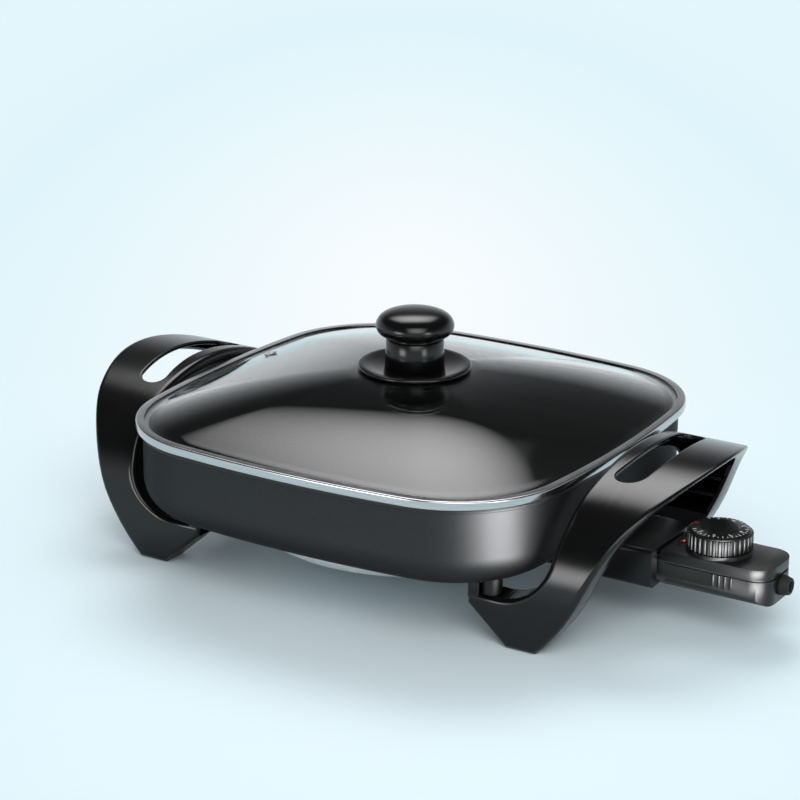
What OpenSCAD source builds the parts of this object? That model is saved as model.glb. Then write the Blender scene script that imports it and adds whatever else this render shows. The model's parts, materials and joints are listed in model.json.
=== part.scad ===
// Electric skillet: square pan on two arched handle and leg units, a lift-off glass lid,
// and a plug-in temperature control with a probe. Millimetres, +Z up.
// The origin is on the worktop, under the middle of the pan. The control plugs in on the +X side.

/* [Pan] */
// Outer width of the pan, from the middle of one side to the middle of the other
pan_width = 301; // [270:1:330]
// Outer radius of the pan's four corners
corner_radius = 73; // [62:1:85]
// Radius of the bow in each side
side_radius = 760; // [600:10:1400]
// Height of the pan's rim above the worktop
rim_height = 97.8; // [90:0.1:115]
// Height of the pan's underside above the worktop
floor_height = 43.5; // [41:0.1:50]
// Thickness of the pan's wall and floor
pan_wall = 3.2; // [2:0.1:4.5]
// Outer radius between the pan's wall and its floor
bottom_radius = 22; // [14:1:30]
// How far the lip at the rim stands out from the wall
lip_reach = 2; // [1:0.1:3]
// Height of the lip at the rim
lip_height = 2.6; // [1.5:0.1:5]
// Diameter of the bosses that the handles are screwed to
boss_d = 12.5; // [12:0.5:18]

/* [Heater] */
// Diameter of the cast plate under the pan
heater_d = 218; // [190:1:226]
// Thickness of the cast plate
heater_depth = 20.5; // [18:0.5:24]
// Radius of the plate's lower edge
heater_edge_radius = 13; // [6:0.5:15]
// Diameter of the hollow in the middle of the plate's underside
heater_hollow_d = 112; // [60:1:118]
// Diameter of the heating element's ring, at the middle of the tube
element_ring_d = 160; // [130:1:175]
// Diameter of the element's tube
element_d = 8; // [6:0.1:9]
// Radius of the bends where the ring turns out to its ends
element_bend = 15; // [12:0.5:20]
// Depth of the element's and the probe's axes below the pan's underside
terminal_drop = 7.5; // [7:0.1:9]
// Distance between the two terminal pins
terminal_pitch = 24; // [22:0.5:26]
// Diameter of a terminal pin
pin_d = 5; // [3.5:0.1:5.5]
// Length of a terminal pin
pin_length = 54; // [45:1:60]
// Diameter of the ceramic bush round each terminal
bush_d = 10; // [9:0.1:11]
// Length of the lug that carries the terminals, from the plate's edge
lug_reach = 19; // [15:1:24]
// Width of the lug
lug_width = 46; // [44:1:50]
// Outer diameter of the liner of the probe's bore
sleeve_d = 8; // [7.4:0.1:9]

/* [Handles] */
// Width of a handle, across its two legs
handle_span = 206; // [196:1:216]
// Height of the grip above the pan's rim
handle_rise = 11.4; // [5:0.1:20]
// How far the grip reaches out from the side of the pan
handle_reach = 74; // [66:0.5:80]
// Radius of the gentle crown along the grip
crown_radius = 162; // [140:2:300]
// Radius of the shoulders between the grip and the legs
shoulder_radius = 67; // [55:1:74]
// Thickness of the moulding's outer skin
handle_skin = 4; // [3:0.1:5]
// Thickness of the moulding's edge walls
edge_wall = 4.5; // [3:0.1:6]
// Depth of the edge walls on the legs
leg_depth = 20; // [18:0.5:24]
// Depth of the edge walls under the grip
grip_depth = 9.5; // [7:0.5:14]
// Gap between the pan's side and the handle at the level of the grip
grip_gap = 10.5; // [8:0.5:14]
// Gap between the pan's side and the handle low on the leg
leg_gap = 5; // [4:0.5:8]
// Length of a foot on the worktop
foot_length = 20; // [14:1:26]
// How far the handle's outer edge draws in low on the leg, from the grip
leg_sweep = 35.5; // [30:0.5:42]
// How far the handle's outer edge draws in under the grip
grip_sweep = 49; // [36:0.5:54]
// How far the outer corner of a foot lies inside the side of the pan
foot_setback = 3; // [0:0.5:8]
// How far the arm that carries the pan reaches in from the side of the pan
arm_reach = 50; // [47:0.5:53]
// Height of the arm's upper face above the worktop
arm_height = 31; // [29:0.5:33]
// Thickness of the arm at its tip
arm_tip = 7.3; // [6:0.1:9]
// Width of the tab that stands up from the arm's tip to the pan's underside
tab_width = 8; // [6:0.5:10]
// Length of the hand slot
slot_length = 100; // [80:1:120]
// Width of the hand slot
slot_width = 19; // [15:0.5:22]
// Radius of the hand slot's bow
slot_bow = 230; // [160:5:500]
// Distance from the pan's side to the middle of the hand slot
slot_offset = 32; // [29:0.5:36]
// Thread diameter of the handle screws
handle_screw_d = 5; // [4:0.5:6]
// Number of stiffening ribs behind each leg
leg_ribs = 2; // [1:1:3]

/* [Lid] */
// How far the lid's band stands out from the pan's side
lid_overhang = 4.5; // [3.5:0.1:7]
// Thickness of the band's sheet steel
band_sheet = 0.8; // [0.5:0.1:1.2]
// How far the band's skirt reaches down inside the pan
skirt_depth = 5; // [3:0.5:10]
// Thickness of the glass
glass_thickness = 4; // [3:0.1:4]
// Rise of the glass from the band to the knob
dome_rise = 26; // [18:0.5:36]
// Diameter of the round flange under the knob
knob_base_d = 74; // [60:1:90]
// Diameter of the knob's cap
knob_d = 52; // [46:1:60]
// Diameter of the knob's stem
stem_d = 40; // [34:1:44]
// Height of the knob above its flange
knob_height = 38; // [34:0.5:46]
// Diameter of the knob's screw
knob_screw_d = 6; // [5:0.5:8]
// Distance from the side of the pan to the steam vent in the lid
vent_inset = 24.5; // [18:0.5:50]
// Outer diameter of the steam vent's eyelet
vent_d = 9; // [7:0.5:12]

/* [Temperature control] */
// Width of the terminal guard
guard_width = 59; // [56:1:64]
// Height of the terminal guard
guard_height = 25; // [24:0.5:27]
// Length of the terminal guard's mouth
guard_length = 42.5; // [38:0.5:48]
// Width of the control's housing
control_width = 42; // [41:0.5:44]
// Height of the control's housing
control_height = 24; // [23:0.5:28]
// Length of the control's housing outside the guard
control_length = 72; // [66:1:84]
// Wall thickness of the control's housing
control_wall = 2.2; // [1.6:0.1:2.6]
// Length of the control's nose inside the guard
nose_length = 37; // [34:0.5:38]
// Length of the probe beyond the nose
probe_length = 77; // [60:1:84]
// Diameter of the probe
probe_d = 6; // [5:0.1:6.5]
// Distance from the front of the control's housing to the dial's axis
dial_offset = 30; // [29:0.5:34]
// Diameter of the dial
dial_d = 41; // [36:0.5:44]
// Height of the dial
dial_height = 12.5; // [10:0.5:16]
// Number of flutes round the dial
dial_flutes = 36; // [24:1:48]
// Diameter of the dial's shaft
shaft_d = 6; // [5:0.1:7]
// Thread diameter of the housing's screws
control_screw_d = 3; // [2.5:0.1:3.5]
// Length of the contacts that grip the pins
contact_length = 26; // [22:1:28]
// Outer diameter of the bush in the cord's inlet
cord_bush_d = 12.8; // [12:0.2:15]
// Diameter of the bush's bore, which the cord goes through
cord_bore_d = 6.8; // [6:0.2:8]
// Number of finger ribs on each side of the housing
finger_ribs = 4; // [2:1:5]

/* [Fits] */
// Radial clearance of a shaft that turns in a bore
running_fit = 0.05; // [0.02:0.01:0.1]
// Gap at the seat of a part that lifts off
seat_gap = 0.3; // [0.2:0.05:0.5]
// Clearance round the control's nose in its guard
slip_fit = 0.6; // [0.4:0.05:1]

/* [Hidden] */
$fn = 64;
// A small length that a cutting shape runs past the face it cuts
past = 1;
// Radial room round a screw or a tube that is fixed in a hole
hole_room = 0.05;
// Step in the surface where two swept lengths join
joint_step = 0.03;

// Plan of the pan: four corner arcs and four bowed sides that meet them without a kink
pan_half = pan_width / 2;
side_centre = side_radius - pan_half;
corner_centre = (sqrt(2 * pow(side_radius - corner_radius, 2) - pow(side_centre, 2)) - side_centre) / 2;
side_angle = atan2(corner_centre, corner_centre + side_centre);

// Heights of the pan and the heater
pan_floor_top = floor_height + pan_wall;
wall_start = floor_height - 2 * joint_step + bottom_radius;
floor_inset = bottom_radius + pan_wall;
heater_r = heater_d / 2;
heater_bottom = floor_height - heater_depth;
terminal_z = floor_height - terminal_drop;
element_r = element_ring_d / 2;
terminal_y = terminal_pitch / 2;
bend_y = terminal_y + element_bend;
bend_x = sqrt(pow(element_r + element_bend, 2) - pow(bend_y, 2));
bend_angle = atan2(bend_y, bend_x);
lug_end = heater_r + lug_reach;
lug_height = 2 * (terminal_drop - 2);
bush_length = 13;
bush_start = lug_end - bush_length + 2;
pin_end = bush_start + pin_length;

// Handle and leg units
arch_top = rim_height + handle_rise;
arch_half = handle_span / 2;
arm_end_x = pan_half - arm_reach;
boss_tuck = 0.75;
boss_x = arm_end_x + tab_width + boss_d / 2 - boss_tuck;
boss_y = arch_half - handle_screw_d / 2 - 5.5;
leg_arc_x = boss_x + boss_d / 2 + 0.5;
leg_arc_r = pan_half + leg_gap - leg_arc_x;
leg_arc_z = arm_height + leg_arc_r;
leg_turn = 15;
rib_zone = (arch_top - arm_height) / 2;
foot_outer_x = pan_half - foot_setback;
foot_inner_x = foot_outer_x - foot_length;
screw_seat_z = arm_height - 4;
screw_reach = floor_height - 2;
screw_head_h = 3;

// Lid
lid_z = rim_height + seat_gap;
band_out = lid_overhang;
band_lip = 5.5;
band_height = glass_thickness + 2 * band_sheet + 4 * hole_room;
glass_edge_z = lid_z + band_height - band_sheet - 2 * hole_room;
glass_out = band_out - band_sheet - 2 * hole_room;
glass_half = pan_half + glass_out;
glass_top = glass_edge_z + dome_rise;
flange_s = 1 - (band_lip + 0.5) / glass_half;
dome_cap = 0.22;
dome_rings = 8;
dome_side_steps = 4;
dome_corner_steps = 7;
knob_base_h = 4.5;
knob_base_top = glass_top + knob_base_h;
knob_top = knob_base_top + knob_height;
washer_h = 2;
washer_z = glass_top - glass_thickness - washer_h;
vent_y = 20;
vent_offset = pan_half - vent_inset;

// Terminal guard and temperature control
guard_back = pan_half - 4.5;
guard_end = guard_back + guard_length;
guard_z = terminal_z - 9.5;
guard_wall = 3;
mouth_half = control_width / 2 + slip_fit;
nose_z = terminal_z - 6;
nose_height = 17;
nose_start = guard_end - nose_length;
body_start = guard_end + 1.8;
body_end = body_start + control_length;
body_z = terminal_z - 10;
body_top = body_z + control_height;
body_half = control_width / 2;
body_round = 8;
end_round = 13;
part_z = body_z + control_height * 0.74;
groove_h = 1.6;
groove_depth = 1;
dial_x = body_start + dial_offset;
deck_h = 2.5;
deck_top = body_top + deck_h;
dial_z = deck_top + 0.5;
dial_top = dial_z + dial_height;
shaft_bottom = terminal_z - 1;
frame_z = body_z + control_wall;
frame_sheet = 1.2;
lens_d = 5;
lens_x = dial_x - (dial_d + lens_d) / 2 - 0.8;

// Points of a circular arc from angle a to angle b, without the last drop of them
function arc(x, y, r, a, b, steps = 12, drop = 0) =
    [for (i = [0 : steps - drop]) let (t = a + (b - a) * i / steps) [x + r * cos(t), y + r * sin(t)]];

// Points of a cubic curve between p and s with the handles q and r
function curve(p, q, r, s, steps = 16) =
    [for (i = [0 : steps]) let (t = i / steps, u = 1 - t)
        u * u * u * p + 3 * u * u * t * q + 3 * u * t * t * r + t * t * t * s];

// Sweeps a section round the plan of the pan; x in the section is the distance outside the pan's wall.
// The corner pieces end inside the side pieces, whose section is larger by joint_step all round.
module swept() {
    lap = 0.8;
    for (turn = [0 : 90 : 270])
        rotate([0, 0, turn]) {
            translate([corner_centre, corner_centre, 0])
                rotate([0, 0, side_angle - lap])
                    rotate_extrude(angle = 90 - 2 * side_angle + 2 * lap, $fn = 128)
                        translate([corner_radius, 0]) let ($grow = 0) children();
            translate([-side_centre, 0, 0])
                rotate([0, 0, -side_angle])
                    rotate_extrude(angle = 2 * side_angle, $fn = 360)
                        translate([side_radius, 0]) let ($grow = joint_step) children();
        }
}

function turned(p, a) = [p.x * cos(a) - p.y * sin(a), p.x * sin(a) + p.y * cos(a)];

// Points of the pan's plan, grown by out, with a number of steps on each side and round each corner
function plan_points(out, side_steps, corner_steps) =
    [for (turn = [0 : 90 : 270], p = concat(
            arc(-side_centre, 0, side_radius + out, -side_angle, side_angle, side_steps, 1),
            arc(corner_centre, corner_centre, corner_radius + out, side_angle, 90 - side_angle,
                corner_steps, 1)))
        turned(p, turn)];

// A cylinder along +X
module bar(x, y, z, d, length) {
    translate([x, y, z]) rotate([0, 90, 0]) cylinder(d = d, h = length);
}

// The pan's outline in section, moved in by inset
module pan_outline(inset) {
    far = floor_inset + 12;
    translate([-far, wall_start]) square([far - inset, rim_height - wall_start + past]);
    translate([-bottom_radius, wall_start]) circle(r = bottom_radius - inset);
    translate([-far, wall_start - bottom_radius + inset]) square([far - bottom_radius, bottom_radius]);
}

module pan_section() {
    reach = floor_inset + 10 + $grow;
    intersection() {
        difference() {
            pan_outline(-$grow);
            pan_outline(pan_wall + $grow);
        }
        translate([-reach, 0]) square([reach + bottom_radius, rim_height + $grow]);
    }
    translate([-pan_wall / 2, rim_height - lip_height - $grow])
        square([pan_wall / 2 + lip_reach + $grow, lip_height + 2 * $grow]);
}

module at_bosses() {
    for (sx = [-1, 1], sy = [-1, 1])
        translate([sx * boss_x, sy * boss_y, 0]) children();
}

module pan() {
    color("#2b2c2f")
        difference() {
            union() {
                swept() pan_section();
                translate([0, 0, floor_height]) linear_extrude(pan_wall)
                    polygon(plan_points(-floor_inset - 4, 3, 4));
                at_bosses() translate([0, 0, arm_height])
                    cylinder(d = boss_d, h = pan_floor_top - 1 - arm_height);
            }
            at_bosses() translate([0, 0, arm_height - past])
                cylinder(d = handle_screw_d + 2 * hole_room, h = screw_reach + 1 + past - arm_height);
        }
}

// The element's path: a ring whose ends turn out towards the terminals; each length ends inside the next
module element_path(d) {
    swage = 0.5;
    lap = 1;
    lap_angle = lap / element_r * 180 / PI;
    translate([0, 0, terminal_z]) {
        rotate([0, 0, bend_angle - lap_angle])
            rotate_extrude(angle = 360 - 2 * bend_angle + 2 * lap_angle)
                translate([element_r, 0]) circle(d = d);
        for (side = [0, 1])
            mirror([0, side, 0])
                translate([bend_x, bend_y, 0])
                    rotate([0, 0, 180 + bend_angle])
                        rotate_extrude(angle = 90 - bend_angle)
                            translate([element_bend, 0]) circle(d = d + swage);
    }
    for (side = [-1, 1])
        bar(bend_x - lap, side * terminal_y, terminal_z, d + 2 * swage, bush_start - bend_x + lap);
}

module heater_section() {
    r = heater_edge_radius;
    translate([0, heater_bottom]) square([heater_r - r, heater_depth]);
    translate([0, heater_bottom + r]) square([heater_r, heater_depth - r]);
    translate([heater_r - r, heater_bottom + r]) circle(r = r);
}

module heater_plate() {
    color("#b9bbbd")
        difference() {
            union() {
                rotate_extrude($fn = 128) intersection() {
                    heater_section();
                    square([heater_r, floor_height]);
                }
                translate([heater_r * 0.8, -lug_width / 2, terminal_z - lug_height / 2])
                    cube([lug_end - heater_r * 0.8, lug_width, lug_height]);
            }
            translate([0, 0, heater_bottom - past])
                cylinder(d = heater_hollow_d, h = past + heater_depth / 2, $fn = 96);
            element_path(element_d + 2 * hole_room);
            for (side = [-1, 1])
                bar(bush_start, side * terminal_y, terminal_z, bush_d + 2 * hole_room, bush_length);
            bar(sleeve_start(), 0, terminal_z, sleeve_d + 2 * hole_room, lug_end);
            at_guard_screws() translate([0, 0, -past])
                cylinder(d = guard_screw_d() + 2 * hole_room, h = guard_screw_top() + 1 + past);
        }
}

module heating_element() {
    color("#8d8f92") element_path(element_d);
}

module terminal_bushes() {
    color("#e9e4d8")
        for (side = [-1, 1])
            difference() {
                bar(bush_start, side * terminal_y, terminal_z, bush_d, bush_length);
                bar(bush_start - past, side * terminal_y, terminal_z, pin_d + 2 * hole_room,
                    bush_length + 2 * past);
            }
}

// Each pin has a rounded tip
module terminal_pins() {
    color("#c9cacc")
        for (side = [-1, 1]) {
            bar(bush_start, side * terminal_y, terminal_z, pin_d, pin_length - pin_d / 2);
            translate([pin_end - pin_d / 2, side * terminal_y, terminal_z]) sphere(d = pin_d);
        }
}

function sleeve_start() = nose_start - probe_length - 3;

module probe_sleeve() {
    color("#a7a9ab")
        difference() {
            bar(sleeve_start(), 0, terminal_z, sleeve_d, lug_end + 1 - sleeve_start());
            bar(sleeve_start() + 1, 0, terminal_z, probe_d + 2 * seat_gap, lug_end - sleeve_start() + past);
        }
}

function guard_screw_d() = 3;
function guard_screw_top() = terminal_z + 1;
neck_half = lug_width / 2 + seat_gap + guard_wall;
neck_z = terminal_z - lug_height / 2 - seat_gap - guard_wall;
neck_height = lug_height + 2 * seat_gap + guard_wall + 1.4;

module at_guard_screws() {
    for (side = [-1, 1])
        translate([lug_end - 9, side * (lug_width / 2 - 3), 0]) children();
}

// A shroud open towards the control, with a neck that fits over the plate's lug
module terminal_guard() {
    color("#17181a")
        difference() {
            union() {
                translate([guard_back, 0, guard_z])
                    rounded_bar(guard_length, guard_width, guard_height, 3);
                translate([heater_r + 1, -neck_half, neck_z])
                    cube([guard_back - heater_r + 1, 2 * neck_half, neck_height]);
            }
            translate([guard_back + guard_wall, -mouth_half, nose_z - slip_fit])
                cube([guard_length, 2 * mouth_half, nose_height + 2 * slip_fit]);
            translate([heater_r, -neck_half + guard_wall, neck_z + guard_wall])
                cube([guard_back + guard_wall + past - heater_r, 2 * (neck_half - guard_wall),
                    lug_height + 2 * seat_gap]);
            at_guard_screws() translate([0, 0, neck_z - past])
                cylinder(d = guard_screw_d() + 4 * hole_room, h = guard_wall + 2 * past);
        }
}

// A bar along +X with rounded edges, standing on z = 0
module rounded_bar(length, width, height, round) {
    rotate([90, 0, 90])
        linear_extrude(length) {
            translate([-width / 2 + round, 0]) square([width - 2 * round, height]);
            translate([-width / 2, round]) square([width, height - 2 * round]);
            for (y = [-1, 1], z = [round, height - round])
                translate([y * (width / 2 - round), z]) circle(r = round);
        }
}

module guard_screws() {
    color("#a7a9ab")
        at_guard_screws() {
            translate([0, 0, neck_z - 2]) cylinder(d = 5.6, h = 2);
            translate([0, 0, neck_z - past])
                cylinder(d = guard_screw_d(), h = guard_screw_top() - neck_z + past);
        }
}

// The space under an arch: a crowned top, round shoulders and upright legs.
// The shoulders' circles stand out by a hair, so the crown and the legs cut them cleanly.
module arch(half, top, crown, shoulder) {
    hair = 0.05;
    crown_z = top - crown;
    between = crown - shoulder + hair;
    shoulder_y = half - shoulder + hair;
    shoulder_z = crown_z + sqrt(pow(between, 2) - pow(shoulder_y, 2));
    joint_y = shoulder_y * crown / between;
    intersection() {
        translate([0, crown_z]) circle(r = crown, $fn = 360);
        translate([-half, -past]) square([2 * half, top + 2 * past]);
        union() {
            translate([-half - past, -2 * past]) square([2 * (half + past), shoulder_z + 2 * past]);
            translate([-joint_y, 0]) square([2 * joint_y, top + 2 * past]);
            for (side = [-1, 1]) translate([side * shoulder_y, shoulder_z])
                circle(r = shoulder, $fn = 128);
        }
    }
}

module arch_inset(depth) {
    arch(arch_half - depth, arch_top - depth, crown_radius - depth, shoulder_radius - depth);
}

// The handle seen along Y: the outer edge sweeps from the foot to the grip, the inner edge follows the pan
module handle_side(inset = 0) {
    over = arch_top + past;
    grip_x = pan_half + handle_reach;
    foot = [foot_outer_x - inset, 0];
    grip = [grip_x - inset, arch_top];
    foot_pull = [grip_x - leg_sweep - inset, 0.37 * arch_top];
    grip_pull = [grip_x - grip_sweep - inset, 0.65 * arch_top];
    polygon(concat(
        curve(foot, foot_pull, grip_pull, grip),
        [[grip_x - inset, over], [pan_half + grip_gap + inset, over]],
        arc(leg_arc_x, leg_arc_z, leg_arc_r + inset, -leg_turn, -90),
        [[arm_end_x, arm_height], [arm_end_x, arm_height - arm_tip], [foot_inner_x, 0]]));
}

module along_x(from, to) {
    translate([from, 0, 0]) rotate([90, 0, 90]) linear_extrude(to - from) children();
}

module along_y(half) {
    translate([0, half, 0]) rotate([90, 0, 0]) linear_extrude(2 * half) children();
}

// The hand slot: a band of a wide arc with round ends
module hand_slot() {
    middle = pan_half + slot_offset;
    half_angle = asin((slot_length - slot_width) / 2 / slot_bow);
    translate([middle - slot_bow, 0]) {
        intersection() {
            difference() {
                circle(r = slot_bow + slot_width / 2, $fn = 360);
                circle(r = slot_bow - slot_width / 2, $fn = 360);
            }
            polygon([[0, 0], for (side = [1, -1]) 2 * slot_bow * [cos(half_angle), side * sin(half_angle)]]);
        }
        for (side = [-1, 1])
            rotate(side * half_angle) translate([slot_bow, 0]) circle(d = slot_width + 4 * joint_step);
    }
}

// The hollow behind the skin, crossed by ribs on the legs
module handle_hollow(from, to) {
    difference() {
        intersection() {
            along_x(from, to) arch_inset(handle_skin);
            along_y(arch_half) handle_side(edge_wall);
            translate([from, -arch_half, arm_height + edge_wall])
                cube([to - from, 2 * arch_half, arch_top]);
        }
        for (i = [1 : leg_ribs])
            translate([from, -arch_half, arm_height + edge_wall + i * rib_zone / (leg_ribs + 1)])
                cube([to - from, 2 * arch_half, 2.5]);
    }
}

// Tabs on the arms' tips that stop just under the pan
module arm_tabs() {
    intersection() {
        along_x(arm_end_x, arm_end_x + tab_width)
            difference() {
                arch_inset(0);
                arch_inset(handle_skin);
            }
        translate([0, -arch_half, arm_height - arm_tip / 2])
            cube([pan_half, 2 * arch_half, floor_height - seat_gap - arm_height + arm_tip / 2]);
    }
}

module handle() {
    from = arm_end_x - past;
    to = pan_half + handle_reach + past;
    arm_tabs();
    difference() {
        intersection() {
            along_x(from, to) arch_inset(0);
            along_y(arch_half) handle_side();
        }
        along_x(from, to)
            arch(arch_half - leg_depth, arch_top - grip_depth, crown_radius - grip_depth,
                shoulder_radius - leg_depth);
        handle_hollow(from, to);
        translate([0, 0, arch_top - leg_depth * 2]) linear_extrude(leg_depth * 3) hand_slot();
        for (side = [-1, 1])
            translate([boss_x, side * boss_y, 0]) {
                translate([0, 0, -past]) cylinder(d = 2 * handle_screw_d + 0.6, h = screw_seat_z + past);
                cylinder(d = handle_screw_d + 4 * hole_room, h = arm_height + past);
            }
    }
}

module right_handle() {
    color("#141517") handle();
}

module left_handle() {
    color("#141517") mirror([1, 0, 0]) handle();
}

module handle_screws() {
    color("#a7a9ab")
        at_bosses() {
            difference() {
                translate([0, 0, screw_seat_z - screw_head_h])
                    cylinder(d = 2 * handle_screw_d, h = screw_head_h);
                translate([0, 0, screw_seat_z - screw_head_h - past])
                    cylinder(d = handle_screw_d * 0.9, h = past + 1.8, $fn = 6);
            }
            translate([0, 0, screw_seat_z - past / 2])
                cylinder(d = handle_screw_d, h = screw_reach - screw_seat_z + past / 2);
        }
}

// Height of the glass over its edge at s, the share of the way out to the edge
function dome(s) = s > flange_s ? 0
    : dome_rise * (1 - pow(s / flange_s, 2)) / (1 - pow(dome_cap / flange_s, 2));

// A flat edge in the band, a dome, and a flat seat for the knob
module glass_shell() {
    shares = concat([1], [for (i = [0 : dome_rings]) flange_s - (flange_s - dome_cap) * i / dome_rings]);
    edge = plan_points(glass_out, dome_side_steps, dome_corner_steps);
    n = len(edge);
    last = len(shares) - 1;
    under = n * (last + 1);
    top = [for (s = shares, p = edge) [p.x * s, p.y * s, glass_edge_z + dome(s)]];
    bottom = [for (p = top) [p.x, p.y, p.z - glass_thickness]];
    quads = [for (i = [0 : last - 1], j = [0 : n - 1]) let (k = (j + 1) % n)
        [i * n + j, (i + 1) * n + j, (i + 1) * n + k, i * n + k]];
    faces = concat(
        [for (q = quads) [q[0], q[1], q[2]]],
        [for (q = quads) [q[0], q[2], q[3]]],
        [for (q = quads) [q[0], q[2], q[1]] + under * [1, 1, 1]],
        [for (q = quads) [q[0], q[3], q[2]] + under * [1, 1, 1]],
        [for (j = [0 : n - 1]) let (k = (j + 1) % n) [j, k, under + k]],
        [for (j = [0 : n - 1]) let (k = (j + 1) % n) [j, under + k, under + j]],
        [[for (j = [n - 1 : -1 : 0]) last * n + j]],
        [[for (j = [0 : n - 1]) under + last * n + j]]);
    polyhedron(concat(top, bottom), faces);
}

module lid_glass() {
    color("#cfe0e4", 0.4)
        difference() {
            glass_shell();
            translate([0, 0, washer_z])
                cylinder(d = knob_screw_d + 1, h = 3 * washer_h + glass_thickness);
            vent_place() translate([0, 0, -glass_thickness * 2])
                cylinder(d = vent_d - 2.4, h = glass_thickness * 3);
        }
}

// The band's section: a channel round the glass, and a skirt inside the pan
module rim_section() {
    g = 2 * $grow;
    skirt_in = -pan_wall - 2 * band_sheet;
    translate([-$grow, -$grow]) {
        translate([band_out - band_sheet, lid_z]) square([band_sheet + g, band_height + g]);
        translate([band_out - band_lip, lid_z + band_height - band_sheet])
            square([band_lip + g, band_sheet + g]);
        translate([skirt_in, lid_z]) square([band_out - skirt_in + g, band_sheet + g]);
        translate([skirt_in, lid_z - skirt_depth]) square([band_sheet + g, skirt_depth + band_sheet + g]);
    }
}

module lid_rim() {
    color("#d4d6d8") swept() rim_section();
}

vent_z = glass_edge_z + dome(vent_offset / glass_half);
vent_step = 0.01;
vent_fall = dome(vent_offset / glass_half - vent_step) - dome(vent_offset / glass_half + vent_step);
vent_slope = atan(vent_fall / (2 * vent_step * glass_half));

// The vent's axis stands square to the glass
module vent_place() {
    translate([-vent_offset, vent_y, vent_z]) rotate([0, -vent_slope, 0]) children();
}

module vent_grommet() {
    seat = 0.35;
    depth = glass_thickness * cos(vent_slope) + seat;
    flange = 2.3;
    bore_r = vent_d / 2 - flange;
    color("#d4d6d8")
        vent_place()
            rotate_extrude() {
                translate([bore_r, -depth - band_sheet]) square([0.9, depth + seat + 2 * band_sheet]);
                translate([bore_r, seat]) square([flange, band_sheet]);
                translate([bore_r, -depth - band_sheet]) square([flange - 0.4, band_sheet]);
            }
}

// A thin round flange with a dished upper face
module knob_base() {
    color("#141517")
        difference() {
            rotate_extrude($fn = 96)
                polygon(concat([[0, glass_top + hole_room]],
                    [[knob_base_d / 2 - 2, glass_top + hole_room]],
                    arc(knob_base_d / 2 - 1.6, glass_top + 1.7, 1.6, -90, 90, 8),
                    [[stem_d / 2 + 2, knob_base_top], [0, knob_base_top]]));
            translate([0, 0, glass_top - past])
                cylinder(d = knob_screw_d + 2 * hole_room, h = knob_base_h + 2 * past);
        }
}

// A stem with a collar, under a rounded cap
module knob() {
    r = knob_d / 2;
    s = stem_d / 2;
    cap_z = knob_base_top + knob_height * 0.40;
    cap_h = knob_top - cap_z;
    cap_r = cap_h * 0.42;
    cap_turn = 30;
    color("#141517")
        difference() {
            rotate_extrude($fn = 96)
                polygon(concat([[0, knob_base_top + hole_room], [s, knob_base_top + hole_room]],
                    [[s - 0.8, cap_z - 4], [s - 2.4, cap_z - 3]],
                    [[s - 2.4, cap_z - 1.2], [s + 0.6, cap_z - 0.4]],
                    arc(r - cap_r, cap_z + cap_r, cap_r, -70, cap_turn, 12),
                    curve([r - cap_r + cap_r * cos(cap_turn), cap_z + cap_r + cap_r * sin(cap_turn)],
                        [r - cap_h * 0.16, cap_z + cap_h * 0.84],
                        [r * 0.55, knob_top], [0, knob_top], 12)));
            translate([0, 0, knob_base_top - past])
                cylinder(d = knob_screw_d + 2 * hole_room, h = knob_height * 0.45 + past);
        }
}

module knob_screw() {
    head_h = 2.5;
    color("#d4d6d8") {
        difference() {
            translate([0, 0, washer_z - head_h]) cylinder(d = 2 * knob_screw_d + 2, h = head_h);
            translate([0, 0, washer_z - head_h - past])
                cube([knob_screw_d * 3, 1.2, 2 * past + 1], center = true);
        }
        translate([0, 0, washer_z - past / 2])
            cylinder(d = knob_screw_d, h = knob_base_top + knob_height * 0.4 - washer_z);
    }
}

module knob_washer() {
    color("#3a3b3d")
        difference() {
            translate([0, 0, washer_z]) cylinder(d = 3 * knob_screw_d + 4, h = washer_h - 0.1);
            translate([0, 0, washer_z - past])
                cylinder(d = knob_screw_d + 2 * hole_room, h = washer_h + 2 * past);
        }
}

// The control's outline across X, with round lower edges
module body_section(inset) {
    r = body_round - inset;
    low = body_z + inset;
    half = body_half - inset;
    translate([-half, body_z + body_round]) square([2 * half, body_top - inset - body_z - body_round]);
    translate([-body_half + body_round, low]) square([2 * (body_half - body_round), body_round]);
    for (side = [-1, 1]) translate([side * (body_half - body_round), body_z + body_round]) circle(r = r);
}

// The control's outline from above, with a rounded cord end
module body_plan(inset) {
    r = end_round - inset;
    half = body_half - inset;
    from = body_start + inset;
    translate([from, -half]) square([body_end - end_round - from, 2 * half]);
    translate([from, -body_half + end_round])
        square([body_end - inset - from, 2 * (body_half - end_round)]);
    for (side = [-1, 1]) translate([body_end - end_round, side * (body_half - end_round)]) circle(r = r);
}

module body_block(inset) {
    intersection() {
        along_x(body_start - past, body_end + past) body_section(inset);
        translate([0, 0, body_z - past]) linear_extrude(control_height + 2 * past) body_plan(inset);
    }
}

module nose_block(inset) {
    translate([nose_start + inset, -body_half + inset, nose_z + inset])
        cube([body_start + control_wall + 2 - nose_start - inset, 2 * (body_half - inset),
            nose_height - 2 * inset]);
}

module control_shell() {
    difference() {
        union() {
            body_block(0);
            nose_block(0);
        }
        body_block(control_wall);
        nose_block(control_wall);
        for (side = [-1, 1])
            bar(nose_start - past, side * terminal_y, terminal_z, pin_d + 2 * slip_fit + 1,
                control_wall + 2 * past);
        bar(nose_start - past, 0, terminal_z, probe_d + 2 * hole_room, control_wall + 2 * past);
        bar(body_end - 2 * control_wall, 0, terminal_z, cord_hole_d(), 4 * control_wall);
    }
}

function cord_hole_d() = cord_bush_d - 2.8;
screw_posts = [for (x = [dial_x - 16, body_end - 15], side = [-1, 1]) [x, side * (body_half - 8.5)]];
post_d = 6.5;
screw_sink = 2.5;

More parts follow.
